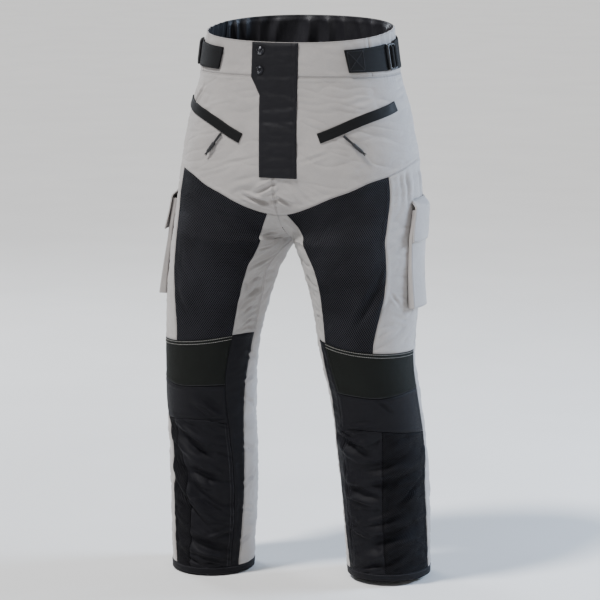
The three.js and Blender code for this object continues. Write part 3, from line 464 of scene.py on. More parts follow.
# name, slot, wrinkles, first and last column, first and last row, stitched edges
PANELS = [
    ("waistband_front", "grey_shell", "calm", INNER, FRONT, TOP, WAIST, "tb"),
    ("waistband_side", "grey_shell", "calm", FRONT, SIDE, TOP, WAIST, "tb"),
    ("yoke", "grey_shell", "calm", INNER, SIDE, WAIST, YOKE, "tlb"),
    ("thigh_mesh", "thigh_mesh", "mesh_folds", EDGE, FRONT, YOKE, KNEE, ""),
    ("inner_thigh", "stretch", "creases", INNER, EDGE, YOKE, KNEE, "lb"),
    ("side_panel", "grey_shell", "soft_folds", FRONT, SIDE, YOKE, KNEE, "lb"),
    ("knee", "knee_cloth", "knee_calm", EDGE, SIDE, KNEE, CALF, "tb"),
    ("inner_strip", "black_cloth", "calm", INNER, EDGE, KNEE, BAND, "r"),
    ("upper_shin", "black_cloth", "knee_calm", EDGE, SIDE, CALF, SHIN, "t"),
    ("shin", "black_cloth", "shin_folds", EDGE, FRONT, SHIN, BAND, "tlr"),
    ("calf_mesh", "calf_mesh", "shin_folds", FRONT, SIDE, SHIN, BAND, ""),
    ("back", "grey_shell", "back_folds", SIDE, WRAPPED, WAIST, BAND, "lr"),
    ("hem", "black_cloth", "edging", CENTRE, REAR, BAND, FOOT, "tb"),
]
GRIDS = {}
FREE_EDGES = {"waistband_front": "t", "waistband_side": "t", "hem": "blr"}
GRID_STEP = {"yoke": .6, "inner_thigh": .7, "shin": .85, "side_panel": .85, "thigh_mesh": 1.1,
             "back": 1.3}
WALL, FAR, GATHER_SHARE = 1.3, 900.0, 1.1
GROOVE_DEPTH, GROOVE_WIDTH, SEWN_WIDTH, SEWN_RISE = 1.2, 1.6, 9, .5


def panel(side, spec, looks):
    name, slot, kind, first, last, top, bottom, stitched = spec
    wraps = last > REAR
    coarse_c, coarse_r = crossed(np.arange(first, last + 1), np.arange(top, bottom + 1))
    held_r = np.where(wraps & (coarse_c > REAR), np.maximum(coarse_r, FORK), coarse_r)
    corners = form(side, *grid_place(side, coarse_c, held_r))
    widths = length(np.diff(corners, axis=0)).max(1)
    heights = length(np.diff(corners, axis=1)).max(0)
    step = STEP * GRID_STEP.get(name, 1)
    columns, rows = stops(first, last, widths, step), stops(top, bottom, heights, step)
    c, r = crossed(columns, rows)
    held_r = np.where(wraps & (c > REAR), np.maximum(r, FORK), r)
    u, h = grid_place(side, c, held_r)
    base, normal = form(side, u, h), outward(side, u, h)
    keep = None
    if wraps:
        # Above the fork nothing lies past the centre back.
        mid_c, mid_r = (columns[1:] + columns[:-1]) / 2, (rows[1:] + rows[:-1]) / 2
        keep = ~((mid_c[:, None] > REAR) & (mid_r[None] < FORK))
    cells = quads_of(len(columns), len(rows), side < 0, keep)

    along, down = lengths(base)
    at_rear = np.searchsorted(columns, min(REAR, last))
    ends = np.where(rows < FORK, along[at_rear], along[-1])
    edges = {"l": along, "r": np.maximum(0, ends[None] - along), "t": down, "b": down[:, -1:] - down}
    free = FREE_EDGES.get(name, "")
    seam = np.minimum.reduce([edges[k] for k in "lrtb" if k not in free])
    if wraps:
        notch = np.where(rows < FORK, FAR, 0)[None] * (c > REAR)
        seam = np.minimum(seam, np.where(c > REAR, np.where(r > FORK, down, FAR), FAR) + notch)
    any_edge = np.minimum.reduce(list(edges.values()))

    height = relief(side, u, h) + wrinkles(kind, base, side) * (.45 + .55 * smooth(any_edge / 9))
    height += pucker(base, seam)
    from_fork = length(base - form(side, 0, CROTCH))
    # Both halves take the same height at the centre seam, so that they meet there.
    shared = np.where(u < .5, relief(-1, 0 * u, h), 0) * smooth((h + 300) / 20)
    height = shared + (height - shared) * smooth(side * base[..., 0] / 9 - .15)
    by_hem = 1 - .65 * np.exp(-((h - HEM[side] - HEM_BAND) / 8) ** 2)
    groove = GROOVE_DEPTH * np.exp(-seam / GROOVE_WIDTH) + GROOVE_DEPTH / 2 * (seam < .05)
    height -= groove * smooth(from_fork / 30) * by_hem
    height += SEWN_RISE * smooth((SEWN_WIDTH - seam) / 1.5) * smooth(from_fork / 60) * by_hem
    point = base + normal * height[..., None]
    at_centre = (h > CROTCH) & (side * base[..., 0] < .02)
    point[..., 0] = np.where(at_centre, 0, point[..., 0])
    GRIDS[name, side] = {"point": point, "normal": normal, "edges": edges}

    near, along_it = np.full(u.shape, FAR), np.zeros(u.shape)
    for k in stitched:
        closer = edges[k] < near
        near = np.where(closer, edges[k], near)
        along_it = np.where(closer, down if k in "lr" else along, along_it)
    maps = {"Cloth": pairs(along - along[at_rear], base[..., 2]), "Seam": pairs(near, along_it)}
    hand = HAND[side]
    obj = closed_shell(f"shell_{name}_{hand}", point, normal, cells, maps, looks[slot],
                       looks["lining"], WALL)
    area = smoothed_area(base.reshape(-1, 3), cells)
    flat = [float(v) * MM for v in (along[-1].max(), down[:, -1].max())]
    held = "gathered" if name in ("waistband_side", "side_panel") else "stretched"
    if held == "gathered":
        flat, area = [flat[0] * GATHER_SHARE, flat[1]], area * GATHER_SHARE
    declare(obj, f"{name}_{hand}", slot, flat, area)


def pucker(points, seam):
    """Small even waves that a row of stitches pulls into the cloth beside a seam."""
    wave = noise(points, (7, 7, 7), 21)
    return .45 * wave * np.exp(-((seam - 5) / 4.5) ** 2)


def strip(name, node, slot, looks, point_at, surface, columns, rows, thickness, flat,
          flip=False, inner=None):
    """A closed strip of cloth from a function that gives a point and a normal for s and t."""
    s, t = crossed(columns, rows)
    base, normal = point_at(s, t)
    along, down = lengths(base)
    right, below = along[-1:] - along, down[:, -1:] - down
    edge = np.minimum.reduce([along, right, down, below])
    height = -.5 * thickness * np.exp(-edge / (.45 * thickness)) * (edge < 4 * thickness)
    point = base + normal * (height + surface(s, t, base, edge))[..., None]
    nearest = np.where(np.minimum(along, right) < np.minimum(down, below), down, along)
    maps = {"Cloth": pairs(along, -down), "Seam": pairs(edge, nearest)}
    cells = quads_of(len(columns), len(rows), flip)
    obj = closed_shell(name, point, normal, cells, maps, looks[slot], looks[inner or slot], thickness)
    declare(obj, node, slot, flat, smoothed_area(base.reshape(-1, 3), cells))


SIDE_SEAM, WAIST_FOLDS = .62, 9


def back_waistband(looks):
    """It runs from one side seam round the back to the other, drawn in by elastic."""

    def point_at(s, t):
        is_right = (s >= 0)[..., None]
        u = 1 - (1 - SIDE_SEAM) * np.abs(s)
        h = WAIST_TOP + (WAIST_SEAM - WAIST_TOP) * t
        return (np.where(is_right, form(-1, u, h), form(1, u, h)),
                np.where(is_right, outward(-1, u, h), outward(1, u, h)))

    def folds(s, t, base, edge):
        drift = .05 * np.sin(6.1 * s + 1.1) + .02 * np.sin(13 * s) + .02 * np.sin(5 * t + 5 * s)
        wave = np.sin(np.pi * 5.5 * (s + drift) * (1 + .08 * s))
        uneven = .7 + .35 * np.sin(7.3 * s + .6)
        fade = smooth(t / .2 + .1) * smooth((1 - t) / .3 + .15) * smooth(8 * (1 - np.abs(s)))
        fine = .9 * noise(base, (9, 9, 40), 30)
        stitched = .7 * np.exp(-((t - .12) / .03) ** 2)
        return (WAIST_FOLDS * uneven * (np.abs(wave) ** 1.3 - 1) + fine) * fade - stitched

    columns, rows = np.linspace(-1, 1, 241), np.linspace(0, 1, 26)
    # Its inside face is a copy of the black cloth painted much lighter: painted light on the inner
    # folds.
    strip("back_waistband", "waistband_back", "black_cloth", looks, point_at, folds, columns, rows,
          WALL, (.53, .094), inner="waist_inside_lit")


def over_cloth(side, u, h, lift):
    normal = outward(side, u, h)
    return form(side, u, h) + normal * np.asarray(lift)[..., None], normal


PLACKET = table((29, .073, .062), (-34, .069, .058), (-50, .053, .056), (-66, .039, .055),
                (-140, .033, .052), (-211, .028, .053))
PLACKET_THICK, STUD_RADIUS = 2.4, 7.5
STUDS = (("stud_upper", .043, 14), ("stud_lower", .042, -21))


def on_front(place, h, lift):
    left, right = over_cloth(1, np.abs(place), h, lift), over_cloth(-1, np.abs(place), h, lift)
    is_left = (place >= 0)[..., None]
    return np.where(is_left, left[0], right[0]), np.where(is_left, left[1], right[1])


def fly_placket(looks):
    def point_at(s, t):
        h = PLACKET[0, 0] + (PLACKET[-1, 0] - PLACKET[0, 0]) * t
        right = -np.interp(-h, -PLACKET[:, 0], PLACKET[:, 1])
        left = curve(PLACKET, 2, h)
        return on_front(right + (left - right) * s, h, LAY_GAP + PLACKET_THICK)

    def creases(s, t, base, edge):
        h = base[..., 2]
        total = np.zeros(s.shape)
        for at, depth, slope in ((-31, 1, 2), (-62, .8, -6), (-88, 1.1, 5), (-112, 1.3, 3),
                                 (-118, .7, -8), (-150, .5, 4), (-176, .6, -4), (-196, .8, 3)):
            line = (h - at - slope * (s - .5) * 2) / 5
            total -= 1.8 * depth * np.exp(-line ** 2) * (.35 + .65 * s) * smooth(edge / 7 - .1)
        ridge = 1.1 * np.exp(-((s - .95) / .035) ** 2) - .7 * np.exp(-((s - .87) / .014) ** 2)
        bulge = 1.5 * np.sin(np.pi * s) * (.5 + .5 * np.sin(t * 9)) + .8 * smooth(edge / 8)
        middles = [over_cloth(-1, np.full((1, 1), u), np.full((1, 1), at), 0)[0] for _, u, at in STUDS]
        from_stud = np.minimum.reduce([length(base - middle) for middle in middles])
        lying_flat = np.exp(-(from_stud / 12) ** 4)
        return (total + ridge + bulge + .7 * noise(base, (16, 16, 9), 23)) * (1 - lying_flat)

    looks = dict(looks, black_cloth=looks["placket_cloth"])
    strip("placket", "fly_placket", "black_cloth", looks, point_at, creases, np.linspace(0, 1, 49),
          np.linspace(0, 1, 111), PLACKET_THICK, (.081, .241))


WELT = {1: table((.111, -141), (.235, -112), (.423, -87)),
        -1: table((.085, -146), (.172, -122), (.41, -88))}
WELT_WIDTH, WELT_THICK = 19.0, 1.8
WELT_LONG = {1: .164, -1: .172}


def welt(side, looks):
    places = WELT[side]

    def centre(s):
        u = places[0, 0] + (places[-1, 0] - places[0, 0]) * s
        return over_cloth(side, u, curve(places, 1, u), LAY_GAP + WELT_THICK)

    def point_at(s, t):
        point, normal = centre(s)
        along = centre(np.minimum(s + .02, 1))[0] - centre(np.maximum(s - .02, 0))[0]
        across = unit(np.cross(normal, along)) * (side * WELT_WIDTH * (.5 - t))[..., None]
        return point + across, normal

    def surface(s, t, base, edge):
        lips = -.25 * np.exp(-((t - .5) / .04) ** 2)
        return lips + .12 * noise(base, (12, 12, 6), 24)

    hand = HAND[side]
    ends = np.concatenate([[0, .004, .01], np.linspace(.02, .98, 70), [.99, .996, 1]])
    across = np.concatenate([[0, .03, .07], np.linspace(.12, .88, 21), [.93, .97, 1]])
    strip(f"welt_strip_{hand}", f"welt_{hand}", "bonded_strip", looks, point_at, surface, ends, across,
          WELT_THICK, (WELT_LONG[side], .0195), flip=side < 0)


POCKET_DEPTH = table((-276, 8), (-340, 7), (-400, 10), (-452, 13))
POCKET_GAP, FLAP_GAP, FLAP_THICK = .9, 1.7, 2.0
POCKET_TOP, POCKET_WIDTH, POCKET_HEIGHT, POCKET_WALL = -276.0, 160, 176, 1.4


def cargo_pocket(side, looks):
    front, rear, top, bottom = .45, .7, POCKET_TOP, POCKET_TOP - POCKET_HEIGHT
    hand = HAND[side]

    def point_at(s, t):
        u = front + (rear - front) * np.clip(s, 0, 1)
        h = top + (bottom - top) * np.minimum(t, 1)
        wall = 1 - np.maximum.reduce([-s, s - 1, t - 1, 0 * s])
        ridge = .1 * np.exp(-((np.minimum(s, 1 - s) - .014) / .008) ** 2)
        sag = 1 + .1 * np.sin(np.pi * np.clip(s, 0, 1)) * np.clip(t, 0, 1)
        depth = curve(POCKET_DEPTH, 1, h) * (wall * sag + ridge * (wall > .99))
        return over_cloth(side, u, h, POCKET_GAP + depth)

    s = np.concatenate([[-1, -.7, -.4, -.15, 0, .004, .012, .022], np.linspace(.035, .965, 56),
                        [.978, .988, .996, 1, 1.15, 1.4, 1.7, 2]])
    t = np.concatenate([np.linspace(0, .985, 58), [.995, 1, 1.15, 1.4, 1.7, 2]])
    ss, tt = crossed(s, t)
    base, _ = point_at(ss, tt)
    cells = quads_of(len(s), len(t), side < 0)
    corner = ((ss < 0) | (ss > 1)) & (tt > 1)
    cells = cells[~corner.reshape(-1)[cells].any(1)]
    normal = own_normals(base.reshape(-1, 3), cells).reshape(base.shape)
    inside = smooth(np.minimum.reduce([ss, 1 - ss, 1 - tt]) * 9)
    folds = noise(base, (34, 34, 26), 26) - ridges(turned(base, 20, side), (50, 50, 16), 25)
    point = base + normal * (.8 * folds * inside)[..., None]
    along, down = lengths(base)
    from_foot = np.abs(tt - 1) * POCKET_HEIGHT
    fold_line = np.minimum(np.minimum(np.abs(ss), np.abs(ss - 1)) * POCKET_WIDTH, from_foot)
    near = np.where((ss < 0) | (ss > 1) | (tt > 1), FAR, np.minimum(fold_line, down + .1))
    maps = {"Cloth": pairs(along, -down), "Seam": pairs(near, np.where(from_foot < 8, along, down))}
    obj = closed_shell(f"pocket_bag_{hand}", point, normal, cells, maps, looks["grey_shell"],
                       looks["lining"], POCKET_WALL)
    flat = (float(along[-1].max()) * MM, float(down[:, -1].max()) * MM)
    declare(obj, f"cargo_pocket_{hand}", "grey_shell", flat, smoothed_area(base.reshape(-1, 3), cells))


def cargo_flap(side, looks):
    front, rear, top, bottom = .444, .708, -258.0, -333.0
    hand = HAND[side]

    def point_at(s, t):
        u, h = front + (rear - front) * s, top + (bottom - top) * t
        over = curve(POCKET_DEPTH, 1, np.minimum(h, POCKET_TOP)) + FLAP_GAP
        corner = 5 * np.maximum(0, 1 - s / .375) * t ** 2
        lift = POCKET_GAP + FLAP_THICK + over * smooth((top - h) / 16) + corner
        return over_cloth(side, u, h, lift)

    def surface(s, t, base, edge):
        ridge = .35 * np.exp(-((edge - 2) / 1.2) ** 2)
        folds = .6 * noise(base, (30, 30, 22), 27) - .5 * ridges(base, (44, 44, 18), 28)
        return ridge + smooth(edge / 14) * folds

    line = lambda n: np.concatenate([[0, .006, .014], np.linspace(.03, .97, n), [.986, .994, 1]])
    strip(f"pocket_flap_{hand}", f"cargo_flap_{hand}", "grey_shell", looks, point_at, surface, line(56),
          line(26), FLAP_THICK, (.185, .082), flip=side < 0)


BUCKLE_U, BUCKLE_H, BUCKLE_LIFT, BAR_SPACING, BUCKLE_HALF = .452, -5.0, 6.8, 11.0, 22.5
BAR_RADIUS, BUCKLE_CORNER, WEBBING, WEBBING_WIDTH = 2.2, 3.4, 1.4, 38.0
LOWER_LAYER = STRAP_GAP + WEBBING / 2
UPPER_LAYER = LOWER_LAYER + WEBBING + .3
STRAP_END = {1: .226, -1: .2}


def buckle_frame(side):
    """A function from places in the buckle, rearward, up and outward, to points."""
    origin, normal = over_cloth(side, BUCKLE_U, BUCKLE_H, 0)
    ahead = over_cloth(side, BUCKLE_U + .02, BUCKLE_H, 0)[0] - origin
    rearward = unit(ahead - normal * ahead.dot(normal))
    upward = unit(side * np.cross(normal, rearward))

    def at(along, up, lift):
        along, up, lift = (np.asarray(v, float)[..., None] for v in (along, up, lift))
        return origin + rearward * along + upward * up + normal * lift

    return at


def strap_routes(side):
    """Each strap's middle line: (share, lift, slant) on the cloth, (along, lift) in the buckle."""
    radius = BAR_RADIUS * math.sqrt(2) + .3 + WEBBING / 2
    angles = [math.radians(a) for a in (-80, -45, -10, 25, 60, 95, 130, 160)]

    def turn_back(bar, way):
        turn = [(bar + way * radius * math.cos(a), BUCKLE_LIFT + radius * math.sin(a)) for a in angles]
        first = [(bar - way * 7.4, 1.7), (bar - way * 3.4, 2.1)]
        return first + turn + [(bar - way * 5.4, 6.2), (bar - way * 7.6, 3.6)]

    near, end = BUCKLE_U - .028, STRAP_END[side]
    slant = lambda u: .012 if u == end else 0
    front = [(u, LOWER_LAYER, slant(u)) for u in np.linspace(end, near, 9)]
    front += turn_back(0, 1) + [(u, UPPER_LAYER, slant(u)) for u in np.linspace(near, end, 9)]
    near = BUCKLE_U + .056
    rear = [(u, LOWER_LAYER, 0) for u in np.linspace(.68, near, 9)]
    rear += turn_back(BAR_SPACING, -1) + [(u, UPPER_LAYER, 0) for u in np.linspace(near, .588, 5)]
    return front, rear


def rounded_line(points, times):
    """A smooth curve through rows of points, with several steps between each two."""
    before = np.concatenate([2 * points[:1] - points[1:2], points[:-1]])
    after = np.concatenate([points[1:], 2 * points[-1:] - points[-2:-1]])
    tangent = (after - before) / 2
    steps = [hermite(points[i], points[i + 1], tangent[i], tangent[i + 1], k / times)
             for i in range(len(points) - 1) for k in range(times)]
    return np.array(steps + [points[-1]])


def strap(side, route, name, node, looks):
    in_buckle = buckle_frame(side)
    half = [.5, .49, .47, .4, .3, .2, .1]
    reach = WEBBING_WIDTH * np.array([*half, 0, *(-v for v in reversed(half))])
    lines = []
    for step in route:
        if len(step) == 2:
            lines.append(in_buckle(step[0], reach, step[1]))
        else:
            u = step[0] - step[2] * reach / WEBBING_WIDTH
            lines.append(over_cloth(side, u, BUCKLE_H + reach, step[1])[0])
    middle = rounded_line(np.array(lines), 5)
    along, across = np.gradient(middle, axis=0), np.gradient(middle, axis=1)
    normal = unit(np.cross(along, -across))
    point = middle + normal * WEBBING / 2
    far = lengths(middle)[0]
    point -= normal * (.45 * smooth((np.abs(reach) - 17) / 2))[:, None]
    maps = {"Cloth": pairs(far, reach * np.ones_like(far)), "Seam": np.full((far.size, 2), FAR)}
    look = looks["webbing"]
    obj = closed_shell(name, point, normal, quads_of(*far.shape), maps, look, look, WEBBING)
    GRIDS[name] = {"point": point, "normal": normal, "far": far, "reach": reach}
    declare(obj, node, "webbing", (WEBBING_WIDTH * MM, float(far[-1].mean()) * MM), None)


def simple_mesh(name, points, faces, material, body, slot):
    mesh = bpy.data.meshes.new(name)
    mesh.from_pydata((np.asarray(points) * MM).tolist(), [], [list(map(int, f)) for f in faces])
    mesh.materials.append(material)
    mesh.polygons.foreach_set("use_smooth", np.ones(len(mesh.polygons), bool))
    obj = placed(name, mesh)
    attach(obj, body)
    return obj


def tube(path, radii, sides, closed=False):
    """Points and faces of a round tube along a path; an open one ends in flat caps."""
    path, radii = np.asarray(path, float), np.broadcast_to(radii, len(path))
    way = unit(np.roll(path, -1, 0) - np.roll(path, 1, 0) if closed else np.gradient(path, axis=0))
    first = unit(np.cross(way[0], [.31, .22, .92]))
    frames = []
    for step in way:
        first = unit(first - step * first.dot(step))
        frames.append((first, np.cross(step, first)))
    return ringed([p + r * circle(a, b, sides) for p, r, (a, b) in zip(path, radii, frames)], closed)


def circle(first, second, sides):
    turn = np.linspace(0, 2 * np.pi, sides, endpoint=False)[:, None]
    return np.cos(turn) * first + np.sin(turn) * second


def ringed(rings, closed=False):
    """Faces between rings of points, with flat caps unless the rings close on themselves."""
    count, sides, faces = len(rings), len(rings[0]), []
    for i in range(count if closed else count - 1):
        for k in range(sides):
            a, b = i * sides, (i + 1) % count * sides
            faces.append((a + k, a + (k + 1) % sides, b + (k + 1) % sides, b + k))
    if not closed:
        faces.append(tuple(range(sides))[::-1])
        faces.append(tuple((count - 1) * sides + k for k in range(sides)))
    return np.concatenate(rings), faces


def joined(parts):
    points, faces, total = [], [], 0
    for some, their in parts:
        points.append(some)
        faces += [tuple(v + total for v in face) for face in their]
        total += len(some)
    return np.concatenate(points), faces


def buckle(side, looks):
    """A moulded loop with rounded corners and a middle bar."""
    at = buckle_frame(side)
    path = []
    for x, z, start in ((1, 1, 0), (-1, 1, 90), (-1, -1, 180), (1, -1, 270)):
        for angle in np.radians(np.linspace(start, start + 90, 7)):
            along = x * (BAR_SPACING - BUCKLE_CORNER) + BUCKLE_CORNER * math.cos(angle)
            up = z * (BUCKLE_HALF - BUCKLE_CORNER) + BUCKLE_CORNER * math.sin(angle)
            path.append(at(along, up, BUCKLE_LIFT))
    ring = tube(path, BAR_RADIUS, 16, closed=True)
    ends = np.linspace(-BUCKLE_HALF, BUCKLE_HALF, 9)
    bar = tube([at(0, up, BUCKLE_LIFT) for up in ends], BAR_RADIUS * .95, 16)
    points, faces = joined([ring, bar])
    obj = simple_mesh(f"buckle_{HAND[side]}", points, faces, looks["buckle_plastic"], "garment",
                      "buckle_plastic")
    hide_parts(f"strap_loop_{HAND[side]}")


def lathe(profile, start, direction, sides):
    """A round solid from rows of (distance from the axis, distance along it)."""
    first = unit(np.cross(direction, [.31, .22, .92]))
    ring = circle(first, np.cross(direction, first), sides)
    return ringed([start + direction * along + out * ring for out, along in profile])


def press_stud(name, u, h, looks):
    point, normal = on_front(np.array(-u), h, LAY_GAP + PLACKET_THICK + LAY_GAP)
    outline = [(.2, 0), (.93, 0), (1, .05), (1.02, .11), (.99, .18), (.92, .24), (.85, .24), (.79, .2),
               (.75, .21), (.71, .26), (.62, .32), (.48, .37), (.3, .41), (.1, .43), (.02, .435)]
    points, faces = lathe([(STUD_RADIUS * a, STUD_RADIUS * b) for a, b in outline], point, normal, 48)
    obj = simple_mesh(f"press_{name}", points, faces, looks["stud_metal"], "garment", "stud_metal")
    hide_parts(name)


# share and height of the knot, then of the place that the pull points to
PULL = {1: (.187, -137, .252, -172), -1: (.152, -141, .205, -187)}
RIBS, RIB_START, RIB_PITCH = 5, 24.6, 3.4


def zip_pull(side, looks):
    """A loop of thin cord with a knot, in a ribbed moulded grip."""
    u, h, toward_u, toward_h = PULL[side]
    hand = HAND[side]
    start, normal = over_cloth(side, u, h, 2.2)
    direction = unit(over_cloth(side, toward_u, toward_h, 5.6)[0] - start)
    across = unit(np.cross(direction, normal))
    at = lambda a, b: start + direction * a + across * b
    cord = ((-1.4, .4), (1, 1), (6, 1.15), (12, 1.05), (18, .8), (22, .6))
    cords = [tube([at(a, way * b) for a, b in cord], 1.3, 10) for way in (-1, 1)]
    knot = lathe([(.6, -1.8), (1.9, -1.5), (2.4, -.6), (2.4, .8), (1.9, 2.4), (.6, 3)],
                 start, direction, 12)
    tail = ((43, .5), (46, .9), (49, 1.4), (51, 1.7))
    tails = [tube([at(a, way * b) for a, b in tail], 1.1, 10) for way in (-1, 1)]
    ribs = [(out, RIB_START + RIB_PITCH * k + more) for k in range(RIBS)
            for out, more in ((3.5, 0), (3.5, 1.2), (2.9, 1.8), (2.9, 2.8))]
    profile = [(1.6, 19.6), (2.5, 20.2), (3, 21.6), (3.4, 23.5), *ribs,
               (3.3, 42), (2.8, 43.4), (1.8, 44.4), (.8, 44.8)]
    grip = lathe(profile, start, direction, 20)
    points, faces = joined(cords + tails + [knot, grip])
    obj = simple_mesh(f"pull_cord_and_grip_{hand}", points, faces, looks["dark_plastic"],
                      f"pull_{hand}", "dark_plastic")
    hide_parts(f"zip_pull_{hand}")


STITCH_PITCH, STITCH_LONG, THREAD = 3.4, 2.5, .42


def resampled(points, normals, pitch):
    far = np.concatenate([[0], np.cumsum(length(np.diff(points, axis=0)))])
    at = np.arange(pitch / 2, far[-1], pitch)
    pick = lambda v, shift: np.stack([np.interp(at + shift, far, v[:, k]) for k in range(3)], -1)
    return pick(points, 0), unit(pick(points, .4) - pick(points, -.4)), unit(pick(normals, 0))


def stitches(lines):
    """Threads along lines of points: each stitch is a short rod with pointed ends, half sunk in."""
    parts = []
    for points, normals in lines:
        for middle, way, normal in zip(*resampled(points, normals, STITCH_PITCH)):
            ends = [middle + way * a * STITCH_LONG / 2 + normal * (.25 - .5 * abs(a) ** 3)
                    for a in (-1, -.75, 0, .75, 1)]
            parts.append(tube(ends, [.12, THREAD, THREAD, THREAD, .12], 6))
    return joined(parts)


def along_edge(grid, edge, distance):
    """The line on a panel that keeps one distance from one of its edges."""
    far, point, normal = grid["edges"][edge], grid["point"], grid["normal"]
    axis = 1 if edge in "tb" else 0
    if axis == 0:
        far, point, normal = far.T, point.transpose(1, 0, 2), normal.transpose(1, 0, 2)
    order = slice(None) if edge in "tl" else slice(None, None, -1)
    pick = lambda v: np.array([[np.interp(distance, f[order], row[order, k]) for k in range(3)]
                               for f, row in zip(far, v)])
    return pick(point), pick(normal)


def sewing(looks):
    """The topstitching that shows: light thread on the knees, dark thread on shins, hems and straps."""
    light, dark = [], []
    for side in (1, -1):
        for distance in (2.2, 7.6):
            light.append(along_edge(GRIDS["knee", side], "t", distance))
        dark.append(along_edge(GRIDS["knee", side], "b", 2.4))
        dark.append(along_edge(GRIDS["hem", side], "t", 2.5))
        dark.append(along_edge(GRIDS["shin", side], "l", 2.4))
        dark.append(along_edge(GRIDS["shin", side], "l", 8))
        dark += box_and_cross(GRIDS[f"webbing_front_{HAND[side]}"])
    for shade, lines, slot in (("light", light, "knee_cloth"), ("dark", dark, "black_cloth")):
        points, faces = stitches(lines)
        simple_mesh(f"stitches_{shade}", points, faces, looks[f"thread_{shade}"], "garment", slot)


def box_and_cross(grid):
    """A square of stitching with a cross in it, on the strap's upper layer at its front end."""
    far, reach, point, normal = grid["far"], grid["reach"], grid["point"], grid["normal"]
    total = far[-1].mean()

    def on_strap(back, up):
        rows = np.interp(total - back, far.mean(1), np.arange(len(far)))
        cols = np.interp(-up, -reach, np.arange(len(reach)))
        i, j = int(min(rows, len(far) - 2)), int(min(cols, len(reach) - 2))
        a, b = rows - i, cols - j
        mix = lambda v: ((v[i, j] * (1 - a) + v[i + 1, j] * a) * (1 - b)
                         + (v[i, j + 1] * (1 - a) + v[i + 1, j + 1] * a) * b)
        return mix(point), mix(normal)

    corners = np.array([(3.5, 15.5), (33, 15.5), (33, -15.5), (3.5, -15.5)])
    lines = []
    for start, end in ((0, 1), (1, 2), (2, 3), (3, 0), (0, 2), (1, 3)):
        places = [corners[start] * (1 - t) + corners[end] * t for t in np.linspace(0, 1, 12)]
        inner, upright = (np.array(part) for part in zip(*[on_strap(*place) for place in places]))
        lines.append((inner - upright * WEBBING, -upright))
    return lines


SEAM_OFFSET, DASH_PITCH = 1.9, 3.3


class Graph:
    """A material's nodes, added by short calls."""

    def __init__(self, name):
        self.material = bpy.data.materials.new(name)
        self.material.use_nodes = True
        self.tree = self.material.node_tree
        self.shader = self.tree.nodes["Principled BSDF"]

    def put(self, socket, value):
        if isinstance(value, bpy.types.NodeSocket):
            self.tree.links.new(value, socket)
        else:
            socket.default_value = value

    def add(self, kind, inputs=(), **settings):
        node = self.tree.nodes.new(kind)
        for key, value in settings.items():
            setattr(node, key, value)
        for key, value in dict(inputs).items():
            self.put(node.inputs[key], value)
        return node

    def math(self, operation, a, b=0.0):
        return self.add("ShaderNodeMath", {0: a, 1: b}, operation=operation).outputs[0]

    def total(self, *values):
        result = values[0]
        for value in values[1:]:
            result = self.math("ADD", result, value)
        return result

    def scaled(self, a, b):
        return self.math("MULTIPLY", a, b)

    def split(self, vector):
        return self.add("ShaderNodeSeparateXYZ", {0: vector}).outputs

    def uv(self, name):
        return self.add("ShaderNodeUVMap", uv_map=name).outputs[0]

    def place(self):
        return self.add("ShaderNodeTexCoord").outputs["Object"]

    def noise(self, vector, scale, detail=2.0):
        inputs = {"Vector": vector, "Scale": scale, "Detail": detail}
        return self.add("ShaderNodeTexNoise", inputs).outputs[0]

    def between(self, value, low, high, start=0.0, end=1.0):
        node = self.add("ShaderNodeMapRange", {0: value, 1: low, 2: high, 3: start, 4: end})
        return node.outputs[0]

    def mix(self, share, a, b):
        node = self.add("ShaderNodeMix", {0: share, 6: a, 7: b}, data_type="RGBA")
        return node.outputs[2]

    def shade(self, colour, factor):
        node = self.add("ShaderNodeMix", {0: 1.0, 6: colour}, data_type="RGBA", blend_type="MULTIPLY")
        grey = self.add("ShaderNodeCombineColor", {0: factor, 1: factor, 2: factor}).outputs[0]
        self.tree.links.new(grey, node.inputs[7])
        return node.outputs[2]

    def bump(self, height_mm):
        node = self.add("ShaderNodeBump", {"Strength": 1.0, "Distance": MM, "Height": height_mm})
        self.put(self.shader.inputs["Normal"], node.outputs[0])

    def set(self, **values):
        for key, value in values.items():
            self.put(self.shader.inputs[key.replace("_", " ")], value)
        return self.material


def rgb(*values):
    """A linear colour from the eight-bit values that a screen shows."""
    linear = [((v / 255 + .055) / 1.055) ** 2.4 if v > 10 else v / 255 / 12.92 for v in values]
    return (*linear, 1)


def woven(graph, uv, pitch):
    """A plain weave: threads that pass over and under each other."""
    x, y, _ = graph.split(uv)
    across = graph.math("SINE", graph.scaled(x, 2 * math.pi / (pitch * MM)))
    down = graph.math("SINE", graph.scaled(y, 2 * math.pi / (pitch * MM)))
    return graph.scaled(across, down)


def stitched(graph):
    """Masks of a row of stitches beside a seam, and of the dip that it pulls into the cloth; cloth()
    also paints that dip darker as painted shade.
    """
    near, along, _ = graph.split(graph.uv("Seam"))
    gap = graph.math("ABSOLUTE", graph.math("SUBTRACT", near, SEAM_OFFSET * MM))
    line = graph.between(gap, .3 * MM, .5 * MM, 1, 0)
    dash = graph.math("FRACT", graph.scaled(along, 1 / (DASH_PITCH * MM)))
    thread = graph.scaled(line, graph.between(dash, .68, .76, 1, 0))
    dip = graph.between(gap, .4 * MM, 1.5 * MM, 1, 0)
    return thread, dip


